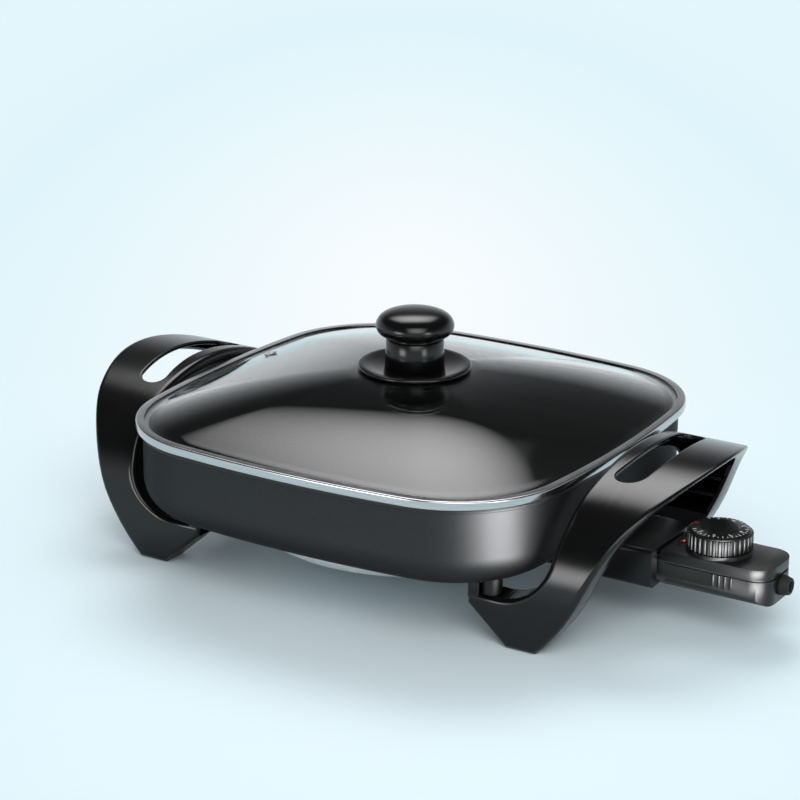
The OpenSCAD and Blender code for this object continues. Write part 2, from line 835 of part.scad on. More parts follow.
module at_posts() {
    for (p = screw_posts) translate([p.x, p.y, 0]) children();
}

module control_base() {
    color("#1d1e20")
        difference() {
            union() {
                intersection() {
                    control_shell();
                    translate([nose_start - past, -body_half - 5, 0])
                        cube([body_end - nose_start + 2 * past, control_width + 10, part_z]);
                }
                for (side = [-1, 1], i = [0 : finger_ribs - 1])
                    translate([dial_x + 6 + 4 * i, side * (body_half - 0.4), body_z + body_round])
                        cylinder(d = 2, h = part_z - groove_h - body_z - body_round);
                at_posts() translate([0, 0, body_z + control_wall / 2])
                    cylinder(d = post_d, h = part_z - body_z - control_wall / 2);
            }
            difference() {
                translate([body_start + 3, -body_half - 5, part_z - groove_h])
                    cube([control_length, control_width + 10, groove_h + past]);
                translate([0, 0, body_z]) linear_extrude(control_height) body_plan(groove_depth);
            }
            at_posts() {
                translate([0, 0, body_z - past]) cylinder(d = 2 * control_screw_d, h = past + screw_sink);
                translate([0, 0, body_z - past])
                    cylinder(d = control_screw_d + 4 * hole_room, h = control_height);
            }
        }
}

module control_cover() {
    color("#1d1e20")
        difference() {
            union() {
                intersection() {
                    control_shell();
                    translate([nose_start - past, -body_half - 5, part_z + hole_room])
                        cube([body_end - nose_start + 2 * past, control_width + 10, control_height]);
                }
                translate([dial_x, 0, body_top - control_wall / 2])
                    cylinder(d = dial_d + 0.6, h = deck_h + control_wall / 2);
                translate([dial_x, 0, body_top - control_wall - 3])
                    cylinder(d = shaft_d + 5, h = deck_h + control_wall + 3);
                at_posts() translate([0, 0, part_z + hole_room])
                    cylinder(d = post_d, h = body_top - part_z - control_wall / 2);
            }
            translate([dial_x, 0, body_top - control_height / 2])
                cylinder(d = shaft_d + 2 * running_fit, h = control_height);
            translate([lens_x, 0, body_top - control_wall - past])
                cylinder(d = lens_d + 2 * hole_room, h = control_wall + 2 * past);
            at_posts() cylinder(d = control_screw_d + 2 * hole_room, h = body_top - control_wall);
        }
}

// Split tubes that grip the pins
module contact_sleeves() {
    color("#c9a24a")
        for (side = [-1, 1])
            difference() {
                bar(nose_start + control_wall + 1, side * terminal_y, terminal_z, pin_d + 2.4,
                    contact_length);
                bar(nose_start, side * terminal_y, terminal_z, pin_d + 2 * hole_room, 2 * contact_length);
                translate([nose_start, side * terminal_y - 0.4, terminal_z])
                    cube([contact_length * 0.7, 0.8, pin_d]);
            }
}

module probe_tube() {
    color("#c9cacc") {
        bar(nose_start - probe_length + probe_d / 2, 0, terminal_z, probe_d, probe_length + 16);
        translate([nose_start - probe_length + probe_d / 2, 0, terminal_z]) sphere(d = probe_d);
    }
}

// A folded sheet frame under the dial's shaft
module thermostat_frame() {
    length = 30;
    width = 18;
    sheet = frame_sheet;
    top_z = shaft_bottom - 1.5;
    color("#a7a9ab")
        difference() {
            translate([dial_x - length / 2, -width / 2, frame_z + hole_room]) {
                cube([length, width, sheet]);
                cube([sheet, width, top_z - frame_z]);
                translate([length - sheet, 0, 0]) cube([sheet, width, top_z - frame_z]);
            }
            bar(nose_start, 0, terminal_z, probe_d + 1, body_end - nose_start);
        }
}

// Two spring strips on the frame, each with a raised contact end
module contact_blades() {
    sheet = 0.5;
    color("#c9a24a")
        for (side = [-1, 1])
            translate([dial_x - 11, side * 5 - 2, frame_z + hole_room + frame_sheet]) {
                cube([20, 4, sheet]);
                translate([20 - sheet, 0, 0]) cube([sheet, 4, 3]);
                translate([20 - sheet, 0, 3 - sheet]) cube([3, 4, sheet]);
            }
}

module indicator_lens() {
    color("#c23a1e", 0.8)
        rotate_extrude_at(lens_x, body_top - control_wall) {
            translate([0, -1.2]) square([lens_d / 2, control_wall + 1.2]);
            translate([0, -1.2]) square([lens_d / 2 + 1, 1.2 - hole_room]);
            intersection() {
                translate([0, control_wall - 3]) circle(r = 4.4);
                translate([0, control_wall - past]) square([lens_d / 2, 4]);
            }
        }
}

module rotate_extrude_at(x, z) {
    translate([x, 0, z]) rotate_extrude() children();
}

module control_screws() {
    color("#a7a9ab")
        at_posts() {
            translate([0, 0, body_z + screw_sink / 4])
                cylinder(d = 1.8 * control_screw_d, h = screw_sink * 3 / 4);
            translate([0, 0, body_z + screw_sink / 2])
                cylinder(d = control_screw_d, h = control_height - control_wall - 1 - screw_sink / 2);
        }
}

// The bush in the cord's inlet, with a flange on each side of the wall
module cord_bush() {
    r = cord_bush_d / 2;
    inner = control_wall + 1.8;
    outer = 6.5;
    color("#101113")
        translate([body_end, 0, terminal_z])
            rotate([0, 90, 0])
                rotate_extrude()
                    difference() {
                        union() {
                            translate([0, -inner]) square([r, inner - control_wall - 0.1]);
                            translate([0, -control_wall - 0.5])
                                square([cord_hole_d() / 2 - hole_room, control_wall + 1]);
                            polygon([[0, 0.1], [r, 0.1], [r, 2.4], [r - 1.2, outer], [0, outer]]);
                        }
                        translate([-past, -2 * inner])
                            square([past + cord_bore_d / 2, 2 * inner + 2 * outer]);
                    }
}

// A fluted skirt under a stepped top
module temperature_dial() {
    r = dial_d / 2;
    skirt_h = dial_height - 3;
    flute_d = 2.4;
    color("#18191b")
        translate([dial_x, 0, dial_z])
            difference() {
                union() {
                    linear_extrude(skirt_h)
                        difference() {
                            circle(r = r, $fn = 4 * dial_flutes);
                            for (i = [0 : dial_flutes - 1])
                                rotate(i * 360 / dial_flutes) translate([r + 0.45, 0])
                                    circle(d = flute_d, $fn = 16);
                        }
                    rotate_extrude()
                        polygon([[0, skirt_h - 1], [r - 1.2, skirt_h - 1], [r - 1.2, dial_height - 2.2],
                            [r - 2.4, dial_height - 1.2], [r * 0.58, dial_height - 0.7],
                            [r * 0.54, dial_height], [0, dial_height]]);
                }
                translate([0, 0, -past]) cylinder(d = shaft_d + 2 * hole_room, h = dial_height - 3);
            }
}

module dial_shaft() {
    color("#c9cacc")
        translate([dial_x, 0, shaft_bottom])
            cylinder(d = shaft_d, h = dial_z + dial_height - 4.5 - shaft_bottom);
}

pan();
heater_plate();
heating_element();
terminal_bushes();
terminal_pins();
probe_sleeve();
terminal_guard();
guard_screws();
left_handle();
right_handle();
handle_screws();
lid_glass();
lid_rim();
vent_grommet();
knob_base();
knob();
knob_screw();
knob_washer();
control_base();
control_cover();
contact_sleeves();
probe_tube();
thermostat_frame();
contact_blades();
indicator_lens();
control_screws();
cord_bush();
temperature_dial();
dial_shaft();
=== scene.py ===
# %% [markdown]
# # A square electric skillet
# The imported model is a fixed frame: every solid is already in its place, in metres.
# The pieces that show are modelled again on that frame with softer edges and finer finishes,
# and the pieces that stay hidden keep their solids and only get a finish.

# %% Load the frame
import json
import math

import bmesh
import bpy
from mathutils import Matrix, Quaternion, Vector


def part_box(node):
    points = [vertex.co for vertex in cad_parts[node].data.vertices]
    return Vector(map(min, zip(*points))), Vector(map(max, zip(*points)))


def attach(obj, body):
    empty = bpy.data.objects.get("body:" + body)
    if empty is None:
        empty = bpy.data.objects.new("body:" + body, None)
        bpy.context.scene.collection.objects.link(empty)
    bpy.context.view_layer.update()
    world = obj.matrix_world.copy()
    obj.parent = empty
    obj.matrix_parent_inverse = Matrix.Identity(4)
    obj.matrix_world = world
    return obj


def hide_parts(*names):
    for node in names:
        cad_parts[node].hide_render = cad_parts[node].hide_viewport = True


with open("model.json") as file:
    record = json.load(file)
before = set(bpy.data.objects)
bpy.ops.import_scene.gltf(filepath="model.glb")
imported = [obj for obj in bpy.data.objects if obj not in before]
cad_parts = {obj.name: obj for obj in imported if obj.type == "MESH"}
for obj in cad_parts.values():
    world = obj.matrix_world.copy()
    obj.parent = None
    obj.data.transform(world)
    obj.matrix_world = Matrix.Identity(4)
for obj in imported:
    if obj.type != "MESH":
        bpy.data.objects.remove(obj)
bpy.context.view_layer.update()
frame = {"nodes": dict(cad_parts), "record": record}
nodes = frame["nodes"]

# %% [markdown]
# ## Working by hand, from code
# An operator acts on whatever is selected, so each step first clears the selection.
# `pick` then selects by place or direction, as a modeller would with the mouse.

# %% Small helpers for selecting and shaping
MM = 0.001


def nothing_selected():
    """Leaves edit mode and clears the selection."""
    if bpy.context.mode != "OBJECT":
        bpy.ops.object.mode_set(mode="OBJECT")
    bpy.ops.object.select_all(action="DESELECT")


def work_on(piece, mode="EDIT"):
    """Makes one piece the active and only selected one, in edit mode unless told otherwise."""
    nothing_selected()
    bpy.context.view_layer.objects.active = piece
    piece.select_set(True)
    if mode == "EDIT":
        bpy.ops.object.mode_set(mode="EDIT")


def pick(piece, kind, test):
    """Selects the vertices, edges or faces that pass test(item, middle)."""
    bpy.ops.mesh.select_mode(type=kind)
    bpy.ops.mesh.select_all(action="DESELECT")
    mesh = bmesh.from_edit_mesh(piece.data)
    mesh.normal_update()
    items = {"VERT": mesh.verts, "EDGE": mesh.edges, "FACE": mesh.faces}[kind]
    count = 0
    for item in items:
        if kind == "VERT":
            middle = item.co
        elif kind == "EDGE":
            middle = (item.verts[0].co + item.verts[1].co) / 2
        else:
            middle = item.calc_center_median()
        if test(item, middle):
            item.select_set(True)
            count += 1
    mesh.select_flush_mode()
    bmesh.update_edit_mesh(piece.data)
    return count


def modifier(piece, kind, **settings):
    """Adds a modifier with these settings and applies it at once."""
    work_on(piece, "OBJECT")
    step = piece.modifiers.new(kind.lower(), kind)
    for key, value in settings.items():
        setattr(step, key, value)
    bpy.ops.object.modifier_apply(modifier=step.name)


def smooth(piece, degrees=35):
    """Shades a piece smooth, except over edges that are sharper than the angle."""
    work_on(piece, "OBJECT")
    bpy.ops.object.shade_smooth_by_angle(angle=math.radians(degrees))
    print(piece.name, "faces:", len(piece.data.polygons))


def round_edges(piece, test, width, segments=3):
    """Bevels the edges that pass the test, and leaves edit mode."""
    work_on(piece)
    pick(piece, "EDGE", test)
    bpy.ops.mesh.bevel(offset=width, segments=segments, affect="EDGES")
    nothing_selected()


def join(pieces, name):
    """Makes one piece of several."""
    nothing_selected()
    for piece in pieces:
        piece.select_set(True)
    bpy.context.view_layer.objects.active = pieces[0]
    bpy.ops.object.join()
    pieces[0].name = pieces[0].data.name = name
    return pieces[0]


def copy_of(piece):
    """A copy with a mesh of its own."""
    work_on(piece, "OBJECT")
    bpy.ops.object.duplicate()
    return bpy.context.object


def put(piece, place, turn=0):
    """Turns a piece about the upright axis and moves it, with its place kept in its mesh."""
    work_on(piece, "OBJECT")
    piece.location = place
    piece.rotation_euler = (0, 0, turn)
    bpy.ops.object.transform_apply(location=True, rotation=True, scale=True)


def single_point(name, place):
    """A mesh of one selected vertex, ready to be extruded or spun."""
    nothing_selected()
    bpy.ops.mesh.primitive_plane_add(size=MM)
    piece = bpy.context.object
    piece.name = piece.data.name = name
    bpy.ops.object.mode_set(mode="EDIT")
    bpy.ops.mesh.select_mode(type="VERT")
    bpy.ops.mesh.select_all(action="SELECT")
    bpy.ops.mesh.merge(type="CENTER")
    bpy.ops.transform.translate(value=place)
    return piece


def chain(start, points):
    """Extrudes the selected vertex from point to point."""
    for point in points:
        step = Vector(point) - Vector(start)
        bpy.ops.mesh.extrude_region_move(TRANSFORM_OT_translate={"value": step})
        start = point


def lathe(name, profile, steps=96):
    """A turned piece: the profile's (radius, height) points spun about the upright axis."""
    points = [(r, 0, z) for r, z in profile]
    piece = single_point(name, points[0])
    chain(points[0], points[1:])
    bpy.ops.mesh.select_all(action="SELECT")
    bpy.ops.mesh.spin(steps=steps, angle=2 * math.pi, center=(0, 0, 0), axis=(0, 0, 1))
    bpy.ops.mesh.select_all(action="SELECT")
    bpy.ops.mesh.remove_doubles(threshold=0.02 * MM)
    bpy.ops.mesh.normals_make_consistent(inside=False)
    return piece


def arc(x, z, r, a, b, steps):
    """Points on an arc about (x, z), from angle a to angle b in degrees."""
    return [(x + r * math.cos(math.radians(a + (b - a) * i / steps)),
             z + r * math.sin(math.radians(a + (b - a) * i / steps))) for i in range(steps + 1)]


def bezier(p, q, r, s, t):
    """A point on the curve from p to s that q and r pull towards them."""
    u = 1 - t
    return tuple(u**3 * a + 3 * u * u * t * b + 3 * u * t * t * c + t**3 * d
                 for a, b, c, d in zip(p, q, r, s))


# %% [markdown]
# ## Finishes
# A material could be wired up node by node in the editor, or in code with a line for each node and link.
# Here a small class wraps a socket so that maths on it reads like maths, and one method makes any other
# node, so each finish below fits in a few lines that say what it does.

# %% Shader maths
class Value:
    """A node's output, on which Python's operators add Math nodes."""

    def __init__(self, finish, socket):
        self.finish, self.socket = finish, socket

    def _math(self, operation, a, b):
        return self.finish.node("ShaderNodeMath", {"operation": operation}, {0: a, 1: b})

    def __add__(self, other):
        return self._math("ADD", self, other)

    def __radd__(self, other):
        return self._math("ADD", other, self)

    def __sub__(self, other):
        return self._math("SUBTRACT", self, other)

    def __rsub__(self, other):
        return self._math("SUBTRACT", other, self)

    def __mul__(self, other):
        return self._math("MULTIPLY", self, other)

    def __rmul__(self, other):
        return self._math("MULTIPLY", other, self)


class Finish:
    """A material: constants go on the shader's own sockets, and patterns are fed to it."""

    def __init__(self, name, **constants):
        self.material = bpy.data.materials.new(name)
        self.material.use_nodes = True
        self.tree = self.material.node_tree
        self.shader = self.tree.nodes["Principled BSDF"]
        for key, value in constants.items():
            self.shader.inputs[key.replace("_", " ").title().replace("Ior", "IOR")].default_value = value
        self.place = self.node("ShaderNodeTexCoord", out="Object")

    def __str__(self):
        return f"{self.material.name} ({len(self.tree.nodes)} nodes)"

    def node(self, kind, settings=None, values=None, out=0):
        """Any node: its settings first, then the values or links of its sockets."""
        node = self.tree.nodes.new(kind)
        for key, value in (settings or {}).items():
            if key == "stops":
                stops = node.color_ramp.elements
                while len(stops) < len(value):
                    stops.new(0.5)
                for stop, (at, colour) in zip(stops, value):
                    stop.position, stop.color = at, colour
            else:
                setattr(node, key, value)
        for key, value in (values or {}).items():
            if isinstance(value, Value):
                self.tree.links.new(value.socket, node.inputs[key])
            else:
                node.inputs[key].default_value = value
        return Value(self, node.outputs[out])

    def feed(self, socket, value):
        self.tree.links.new(value.socket, self.shader.inputs[socket])

    def noise(self, scale, detail=3.0, roughness=0.5, place=None):
        return self.node("ShaderNodeTexNoise", None, {"Vector": place or self.place, "Scale": scale,
                         "Detail": detail, "Roughness": roughness}, out="Fac")

    def colours(self, factor, stops):
        return self.node("ShaderNodeValToRGB", {"stops": stops}, {"Fac": factor}, out="Color")

    def bump(self, height, strength, distance):
        self.feed("Normal", self.node("ShaderNodeBump", None, {"Strength": strength, "Distance": distance,
                                                              "Height": height}, out="Normal"))


def dark(v, tint=(1, 1, 1.03)):
    """A grey of this lightness with a touch of blue."""
    return tuple(v * t for t in tint) + (1,)


# %% [markdown]
# Outside, the pan has a charcoal coat with a fine grain, a slightly uneven gloss and a soft, broad glint. It
# could be a plain black paint, but that turns pale where it is seen at a slant. So it is written as a dark
# metal with a dark edge tint.

# %% Pan coat
coat = Finish("pan_coat", metallic=0.92, specular_ior_level=0.35, specular_tint=(0.45, 0.45, 0.45, 1))
speckle = coat.noise(2600, 2)
drift = coat.noise(18, 3)
coat.feed("Base Color", coat.colours(speckle, [(0.35, dark(0.032)), (0.65, dark(0.046))]))
coat.feed("Roughness", 0.38 + 0.08 * drift + 0.05 * speckle)
coat.bump(speckle, 0.12, 0.12 * MM)
print(coat)

# %% [markdown]
# Inside, the pan has a black non-stick lining with a little more shine. Over the lip, just under the lid's
# band, the same black is painted shade. It could be a thin second shell, but a second finish on faces of the
# same mesh has no gap and no edge to hide.

# %% Lining, and painted shade on the lip
lining_and_lip_shade = Finish("non_stick_lining", specular_ior_level=0.35)
pores = lining_and_lip_shade.noise(2200, 3)
patches = lining_and_lip_shade.noise(14, 3)
lining_and_lip_shade.feed("Base Color", lining_and_lip_shade.colours(pores, [(0.35, dark(0.008)), (0.65, dark(0.012))]))
lining_and_lip_shade.feed("Roughness", 0.36 + 0.10 * patches + 0.03 * pores)
lining_and_lip_shade.bump(pores, 0.03, 0.1 * MM)
print(lining_and_lip_shade)

# %% [markdown]
# Handles and knob are glossy black mouldings. A real one is never a perfect mirror: it has a faint
# waviness from the mould and a little unevenness in the gloss. The control and its guard are moulded too,
# with a duller skin that has a fine texture and a little wear.

# %% Glossy and satin mouldings
gloss = Finish("black_gloss", specular_ior_level=0.38)
wave = gloss.noise(60, 2)
haze = gloss.noise(25, 4)
gloss.feed("Base Color", gloss.colours(haze, [(0.3, dark(0.003)), (0.7, dark(0.005))]))
gloss.feed("Roughness", 0.15 + 0.07 * haze)
gloss.bump(wave, 0.05, 0.4 * MM)

satin = Finish("black_satin", specular_ior_level=0.4)
spark = satin.noise(3200, 2)
wear = satin.noise(40, 4)
satin.feed("Base Color", satin.colours(wear, [(0.3, dark(0.006)), (0.7, dark(0.010))]))
satin.feed("Roughness", 0.24 + 0.10 * wear + 0.06 * spark)
satin.bump(spark, 0.10, 0.1 * MM)
print(gloss, satin, sep=", ")

# %% [markdown]
# Steel comes in two kinds here: the lid's polished band, with streaks drawn out along it, and the plain
# plated hardware. The contacts are brass and the heater's plate is cast. A metal has no colour but its
# reflection, so these differ in the tint and the blur of it.

# %% Steels, brass and the cast plate
bright = Finish("bright_steel", metallic=1.0)
drawn_out = bright.node("ShaderNodeMapping", None, {"Vector": bright.place, "Scale": (0.05, 0.05, 4.0)},
                        out="Vector")
streak = bright.noise(900, 2, place=drawn_out)
bright.feed("Base Color", bright.colours(streak, [(0.3, (0.46, 0.47, 0.48, 1)),
                                                  (0.7, (0.56, 0.57, 0.58, 1))]))
bright.feed("Roughness", 0.13 + 0.10 * streak)

zinc = Finish("zinc_steel", metallic=1.0)
bloom = zinc.noise(300, 3)
zinc.feed("Base Color", zinc.colours(bloom, [(0.3, (0.50, 0.50, 0.51, 1)), (0.7, (0.62, 0.62, 0.62, 1))]))
zinc.feed("Roughness", 0.28 + 0.15 * bloom)

brass = Finish("brass", metallic=1.0)
tarnish = brass.noise(200, 3)
brass.feed("Base Color", brass.colours(tarnish, [(0.3, (0.60, 0.43, 0.17, 1)),
                                                 (0.7, (0.74, 0.56, 0.25, 1))]))
brass.feed("Roughness", 0.25 + 0.15 * tarnish)

cast = Finish("cast_plate", metallic=0.6)
grain = cast.noise(700, 4)
cast.feed("Base Color", cast.colours(grain, [(0.3, (0.70, 0.71, 0.72, 1)), (0.7, (0.84, 0.85, 0.86, 1))]))
cast.feed("Roughness", 0.38 + 0.16 * grain)
cast.bump(grain, 0.25, 0.3 * MM)
print(bright, zinc, brass, cast, sep=", ")

# %% [markdown]
# The lid is clear tempered glass, smooth and a touch green, so all its values are constants. The remaining
# finishes are small: ceramic, rubber, the red lens and the white print on the dial. Every solid of the frame
# then gets the finish of its slot in the record, also where a finer piece will hide it.

# %% Glass and small finishes
glass = Finish("tempered_glass", transmission_weight=1.0, roughness=0.0, ior=1.45)
glass.shader.inputs["Base Color"].default_value = (0.965, 0.985, 0.98, 1)

ceramic = Finish("ceramic", specular_ior_level=0.5)
fleck = ceramic.noise(500, 3)
ceramic.feed("Base Color", ceramic.colours(fleck, [(0.3, (0.78, 0.74, 0.66, 1)),
                                                   (0.7, (0.86, 0.83, 0.76, 1))]))
ceramic.feed("Roughness", 0.3 + 0.2 * fleck)

rubber = Finish("black_rubber", specular_ior_level=0.3)
dust = rubber.noise(800, 3)
rubber.feed("Base Color", rubber.colours(dust, [(0.3, dark(0.012)), (0.7, dark(0.022))]))
rubber.feed("Roughness", 0.55 + 0.2 * dust)

red = Finish("red_lens", specular_ior_level=0.5, transmission_weight=0.3)
swirl = red.noise(300, 2)
red.feed("Base Color", red.colours(swirl, [(0.3, (0.45, 0.02, 0.012, 1)), (0.7, (0.62, 0.05, 0.03, 1))]))
red.feed("Roughness", 0.08 + 0.08 * swirl)

white = Finish("white_print", specular_ior_level=0.3)
fringe = white.noise(1500, 2)
white.feed("Base Color", white.colours(fringe, [(0.3, (0.70, 0.70, 0.70, 1)), (0.7, (0.80, 0.80, 0.80, 1))]))
white.feed("Roughness", 0.45 + 0.1 * fringe)

finish_of_slot = {"pan_coat": coat, "cast_plate": cast, "element_sheath": zinc, "ceramic": ceramic,
                  "bright_steel": bright, "zinc_steel": zinc, "black_gloss": gloss, "black_satin": satin,
                  "tempered_glass": glass, "brass": brass, "black_rubber": rubber, "red_lens": red}
slot_of_node = {p["node"]: p["material_slot"] for p in frame["record"]["subparts"]}
for name, node in nodes.items():
    node.data.materials.clear()
    node.data.materials.append(finish_of_slot[slot_of_node[name]].material)
print("finishes:", len(bpy.data.materials))


def dress(piece, finish, body, slot, *replaced):
    """Gives a piece its finish and its body, and hides the solids that it stands for. The slot is not used.
    """
    nothing_selected()
    piece.data.materials.clear()
    piece.data.materials.append(finish.material)
    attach(piece, body)
    if replaced:
        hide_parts(*replaced)


# %% [markdown]
# ## The pan
# The plan is a square with bowed sides: four wide arcs and four corner arcs that meet without a kink.
# A cube with rounded corners would be quicker, but its sides would be straight. So one vertex is spun round
# each centre in turn, and the outline is made of true arcs. The lid's band and its glass start from it too.

# %% The outline of the pan and the lid
pan_half = 0.1505
corner_radius = 0.073
side_radius = 0.760
side_centre = side_radius - pan_half
corner_centre = (math.sqrt(2 * (side_radius - corner_radius) ** 2 - side_centre ** 2) - side_centre) / 2
side_angle = math.atan2(corner_centre, corner_centre + side_centre)


def outline(name, out, z, side_steps=12, corner_steps=18):
    """The bowed square, moved outwards by out, as a closed loop of edges at height z."""
    reach = side_radius + out
    start = (reach * math.cos(side_angle) - side_centre, -reach * math.sin(side_angle), z)
    piece = single_point(name, start)
    side = ((-side_centre, 0), 2 * side_angle, side_steps)
    corner = ((corner_centre, corner_centre), math.pi / 2 - 2 * side_angle, corner_steps)
    for quarter in range(4):
        for (x, y), angle, steps in (side, corner):
            for _ in range(quarter):
                x, y = -y, x
            bpy.ops.mesh.spin(steps=steps, angle=angle, center=(x, y, z), axis=(0, 0, -1))
    bpy.ops.mesh.select_all(action="SELECT")
    bpy.ops.mesh.remove_doubles(threshold=0.05 * MM)
    return piece


def filled(face):
    """Tells the face that fills the outline from the narrow ones along it."""
    return len(face.verts) > 20


print("outline's corner arcs stand", round(corner_centre / MM, 1), "mm off the middle")

# %% [markdown]
# The pan is cast, with an even wall, a round bottom and a small lip that the lid rests on. A solid block
# could be hollowed out, but its wall would then vary. So the outline is filled, drawn up to the rim and
# opened at the top, one wide bevel rounds the bottom, Solidify gives the wall, and the top band of faces is
# pushed out to make the lip.

# %% Shape the pan
rim = 0.0978
floor_under = 0.0435
wall = 0.0032
lip_height, lip_out = 0.0026, 0.0020
bottom_rounding, floor_inset = 0.022, 0.003


def outwards(face, m):
    """How much a face looks away from the middle axis, from -1 to 1."""
    return face.normal.dot(Vector((m.x, m.y, 0)).normalized())


def on_lip(face, m):
    return m.z > rim - lip_height and outwards(face, m) > 0.6


def on_lining_and_lip_shade(face, m):
    # The band of faces round the lip is painted black as shade under the lid's band. The inner walls and the
    # floor take the real lining.
    lip_shade_band = m.z > rim - lip_height - 0.6 * MM
    return lip_shade_band or outwards(face, m) < -0.3 or face.normal.z > 0.3 and m.z > floor_under


pan = outline("pan_shell", 0, floor_under)
bpy.ops.mesh.edge_face_add()
bpy.ops.mesh.extrude_region_move(TRANSFORM_OT_translate={"value": (0, 0, rim - floor_under)})
bpy.ops.mesh.delete(type="ONLY_FACE")
bpy.ops.mesh.select_all(action="SELECT")
bpy.ops.mesh.normals_make_consistent(inside=False)
pick(pan, "EDGE", lambda e, m: abs(m.z - floor_under) < 0.01 * MM)
bpy.ops.mesh.bevel(offset=bottom_rounding, segments=10, affect="EDGES")
pick(pan, "FACE", lambda f, m: filled(f))
bpy.ops.mesh.inset(thickness=floor_inset)
bpy.ops.mesh.select_all(action="SELECT")
bpy.ops.mesh.bisect(plane_co=(0, 0, rim - lip_height), plane_no=(0, 0, 1))
modifier(pan, "SOLIDIFY", thickness=wall, offset=-1, use_even_offset=True)
work_on(pan)
print("lip faces:", pick(pan, "FACE", on_lip))
bpy.ops.mesh.extrude_region_shrink_fatten(TRANSFORM_OT_shrink_fatten={"value": lip_out})
modifier(pan, "BEVEL", width=0.5 * MM, segments=3, limit_method="ANGLE", angle_limit=math.radians(40))
smooth(pan)
dress(pan, coat, "skillet", "pan_coat", "pan")
# The second finish is the lining inside, and painted shade over the lip under the lid's band.
pan.data.materials.append(lining_and_lip_shade.material)
work_on(pan)
print("lining faces:", pick(pan, "FACE", on_lining_and_lip_shade))
pan.active_material_index = 1
bpy.ops.object.material_slot_assign()
nothing_selected()

# %% [markdown]
# Four cast bosses stand under the floor, and the handles are screwed to them. They could be drawn out of the
# floor's own faces, but cylinders that reach a little way into the floor leave the pan's even mesh alone.
# One is shaped and copied.

# %% Bosses
boss_x, boss_y, boss_r, arm_top = 0.114, 0.095, 0.00625, 0.031
boss_top = floor_under + 0.001
nothing_selected()
bpy.ops.mesh.primitive_cylinder_add(vertices=48, radius=boss_r, depth=boss_top - arm_top,
                                    location=(0, 0, (boss_top + arm_top) / 2))
boss = bpy.context.object
bpy.ops.object.transform_apply(location=True, rotation=True, scale=True)
round_edges(boss, lambda e, m: all(abs(v.co.z - arm_top) < 0.01 * MM for v in e.verts), 0.6 * MM)
bosses = [boss] + [copy_of(boss) for _ in range(3)]
for boss, (sx, sy) in zip(bosses, ((-1, -1), (-1, 1), (1, -1), (1, 1))):
    put(boss, (sx * boss_x, sy * boss_y, 0))
boss = join(bosses, "pan_bosses")
smooth(boss)
dress(boss, coat, "skillet", "pan_coat")

# %% [markdown]
# ## The lid
# The band is folded from thin steel: a channel that holds the glass and a skirt that drops into the pan.
# Its section could be swept along the outline, but a sweep bunches up in the corners. So it starts as a slab
# on the outline, insets open its middle, and Solidify makes it a sheet.

# %% The band
lid_gap = 0.0003
lid_z = rim + lid_gap
band_height = 0.0058
band_out = 0.0045
sheet = 0.0008
top_width, skirt_in, skirt_depth, fold_round = 0.0055, 0.0040, 0.005, 1.1 * MM


def on_outer_fold(edge, m):
    """The folds between the band's upright face and its top and underside."""
    faces = edge.link_faces
    if len(faces) != 2 or any(len(f.verts) != 4 for f in faces):
        return False
    upright_and_flat = 0.9 < abs(faces[0].normal.z) + abs(faces[1].normal.z) < 1.1
    at_fold = min(abs(m.z - lid_z), abs(m.z - lid_z - band_height)) < 0.01 * MM
    outermost = max(f.calc_center_median().to_2d().length for f in faces) > m.to_2d().length - 0.01 * MM
    return upright_and_flat and at_fold and outermost


band = outline("lid_band", band_out, lid_z)
bpy.ops.mesh.edge_face_add()
bpy.ops.mesh.extrude_region_move(TRANSFORM_OT_translate={"value": (0, 0, band_height)})
bpy.ops.mesh.select_all(action="SELECT")
bpy.ops.mesh.normals_make_consistent(inside=False)
pick(band, "FACE", lambda f, m: filled(f) and m.z > lid_z + band_height / 2)
bpy.ops.mesh.inset(thickness=top_width)
bpy.ops.mesh.delete(type="ONLY_FACE")
pick(band, "FACE", lambda f, m: filled(f))
bpy.ops.mesh.inset(thickness=band_out + skirt_in)
bpy.ops.mesh.extrude_region_move(TRANSFORM_OT_translate={"value": (0, 0, -skirt_depth)})
bpy.ops.mesh.delete(type="ONLY_FACE")
pick(band, "EDGE", on_outer_fold)
bpy.ops.mesh.bevel(offset=fold_round, segments=4, affect="EDGES")
modifier(band, "SOLIDIFY", thickness=sheet, offset=-1, use_even_offset=True)
smooth(band)
dress(band, bright, "lid", "bright_steel", "lid_rim")

# %% [markdown]
# The glass has a flat edge in the band, a dome, and a flat seat for the knob. A slice of a ball would give a
# round dome, and this one is square with soft corners. So the outline's edge loop is extruded inwards and
# upwards ring by ring, and each ring is scaled towards the middle.

# %% The glass
glass_play = 0.1 * MM
glass_top_edge = lid_z + band_height - sheet - glass_play
glass_out = band_out - sheet - glass_play
glass_half = pan_half + glass_out
glass_thick, seat_inset, flat_edge = 0.004, 0.004, 0.006
flange = 1 - flat_edge / glass_half
cap = 0.22
dome_rise = 0.026
rings = 18


def dome(s):
    """The dome's rise where the outline is scaled by s."""
    return dome_rise * (1 - (s / flange) ** 2) / (1 - (cap / flange) ** 2) if s < flange else 0.0


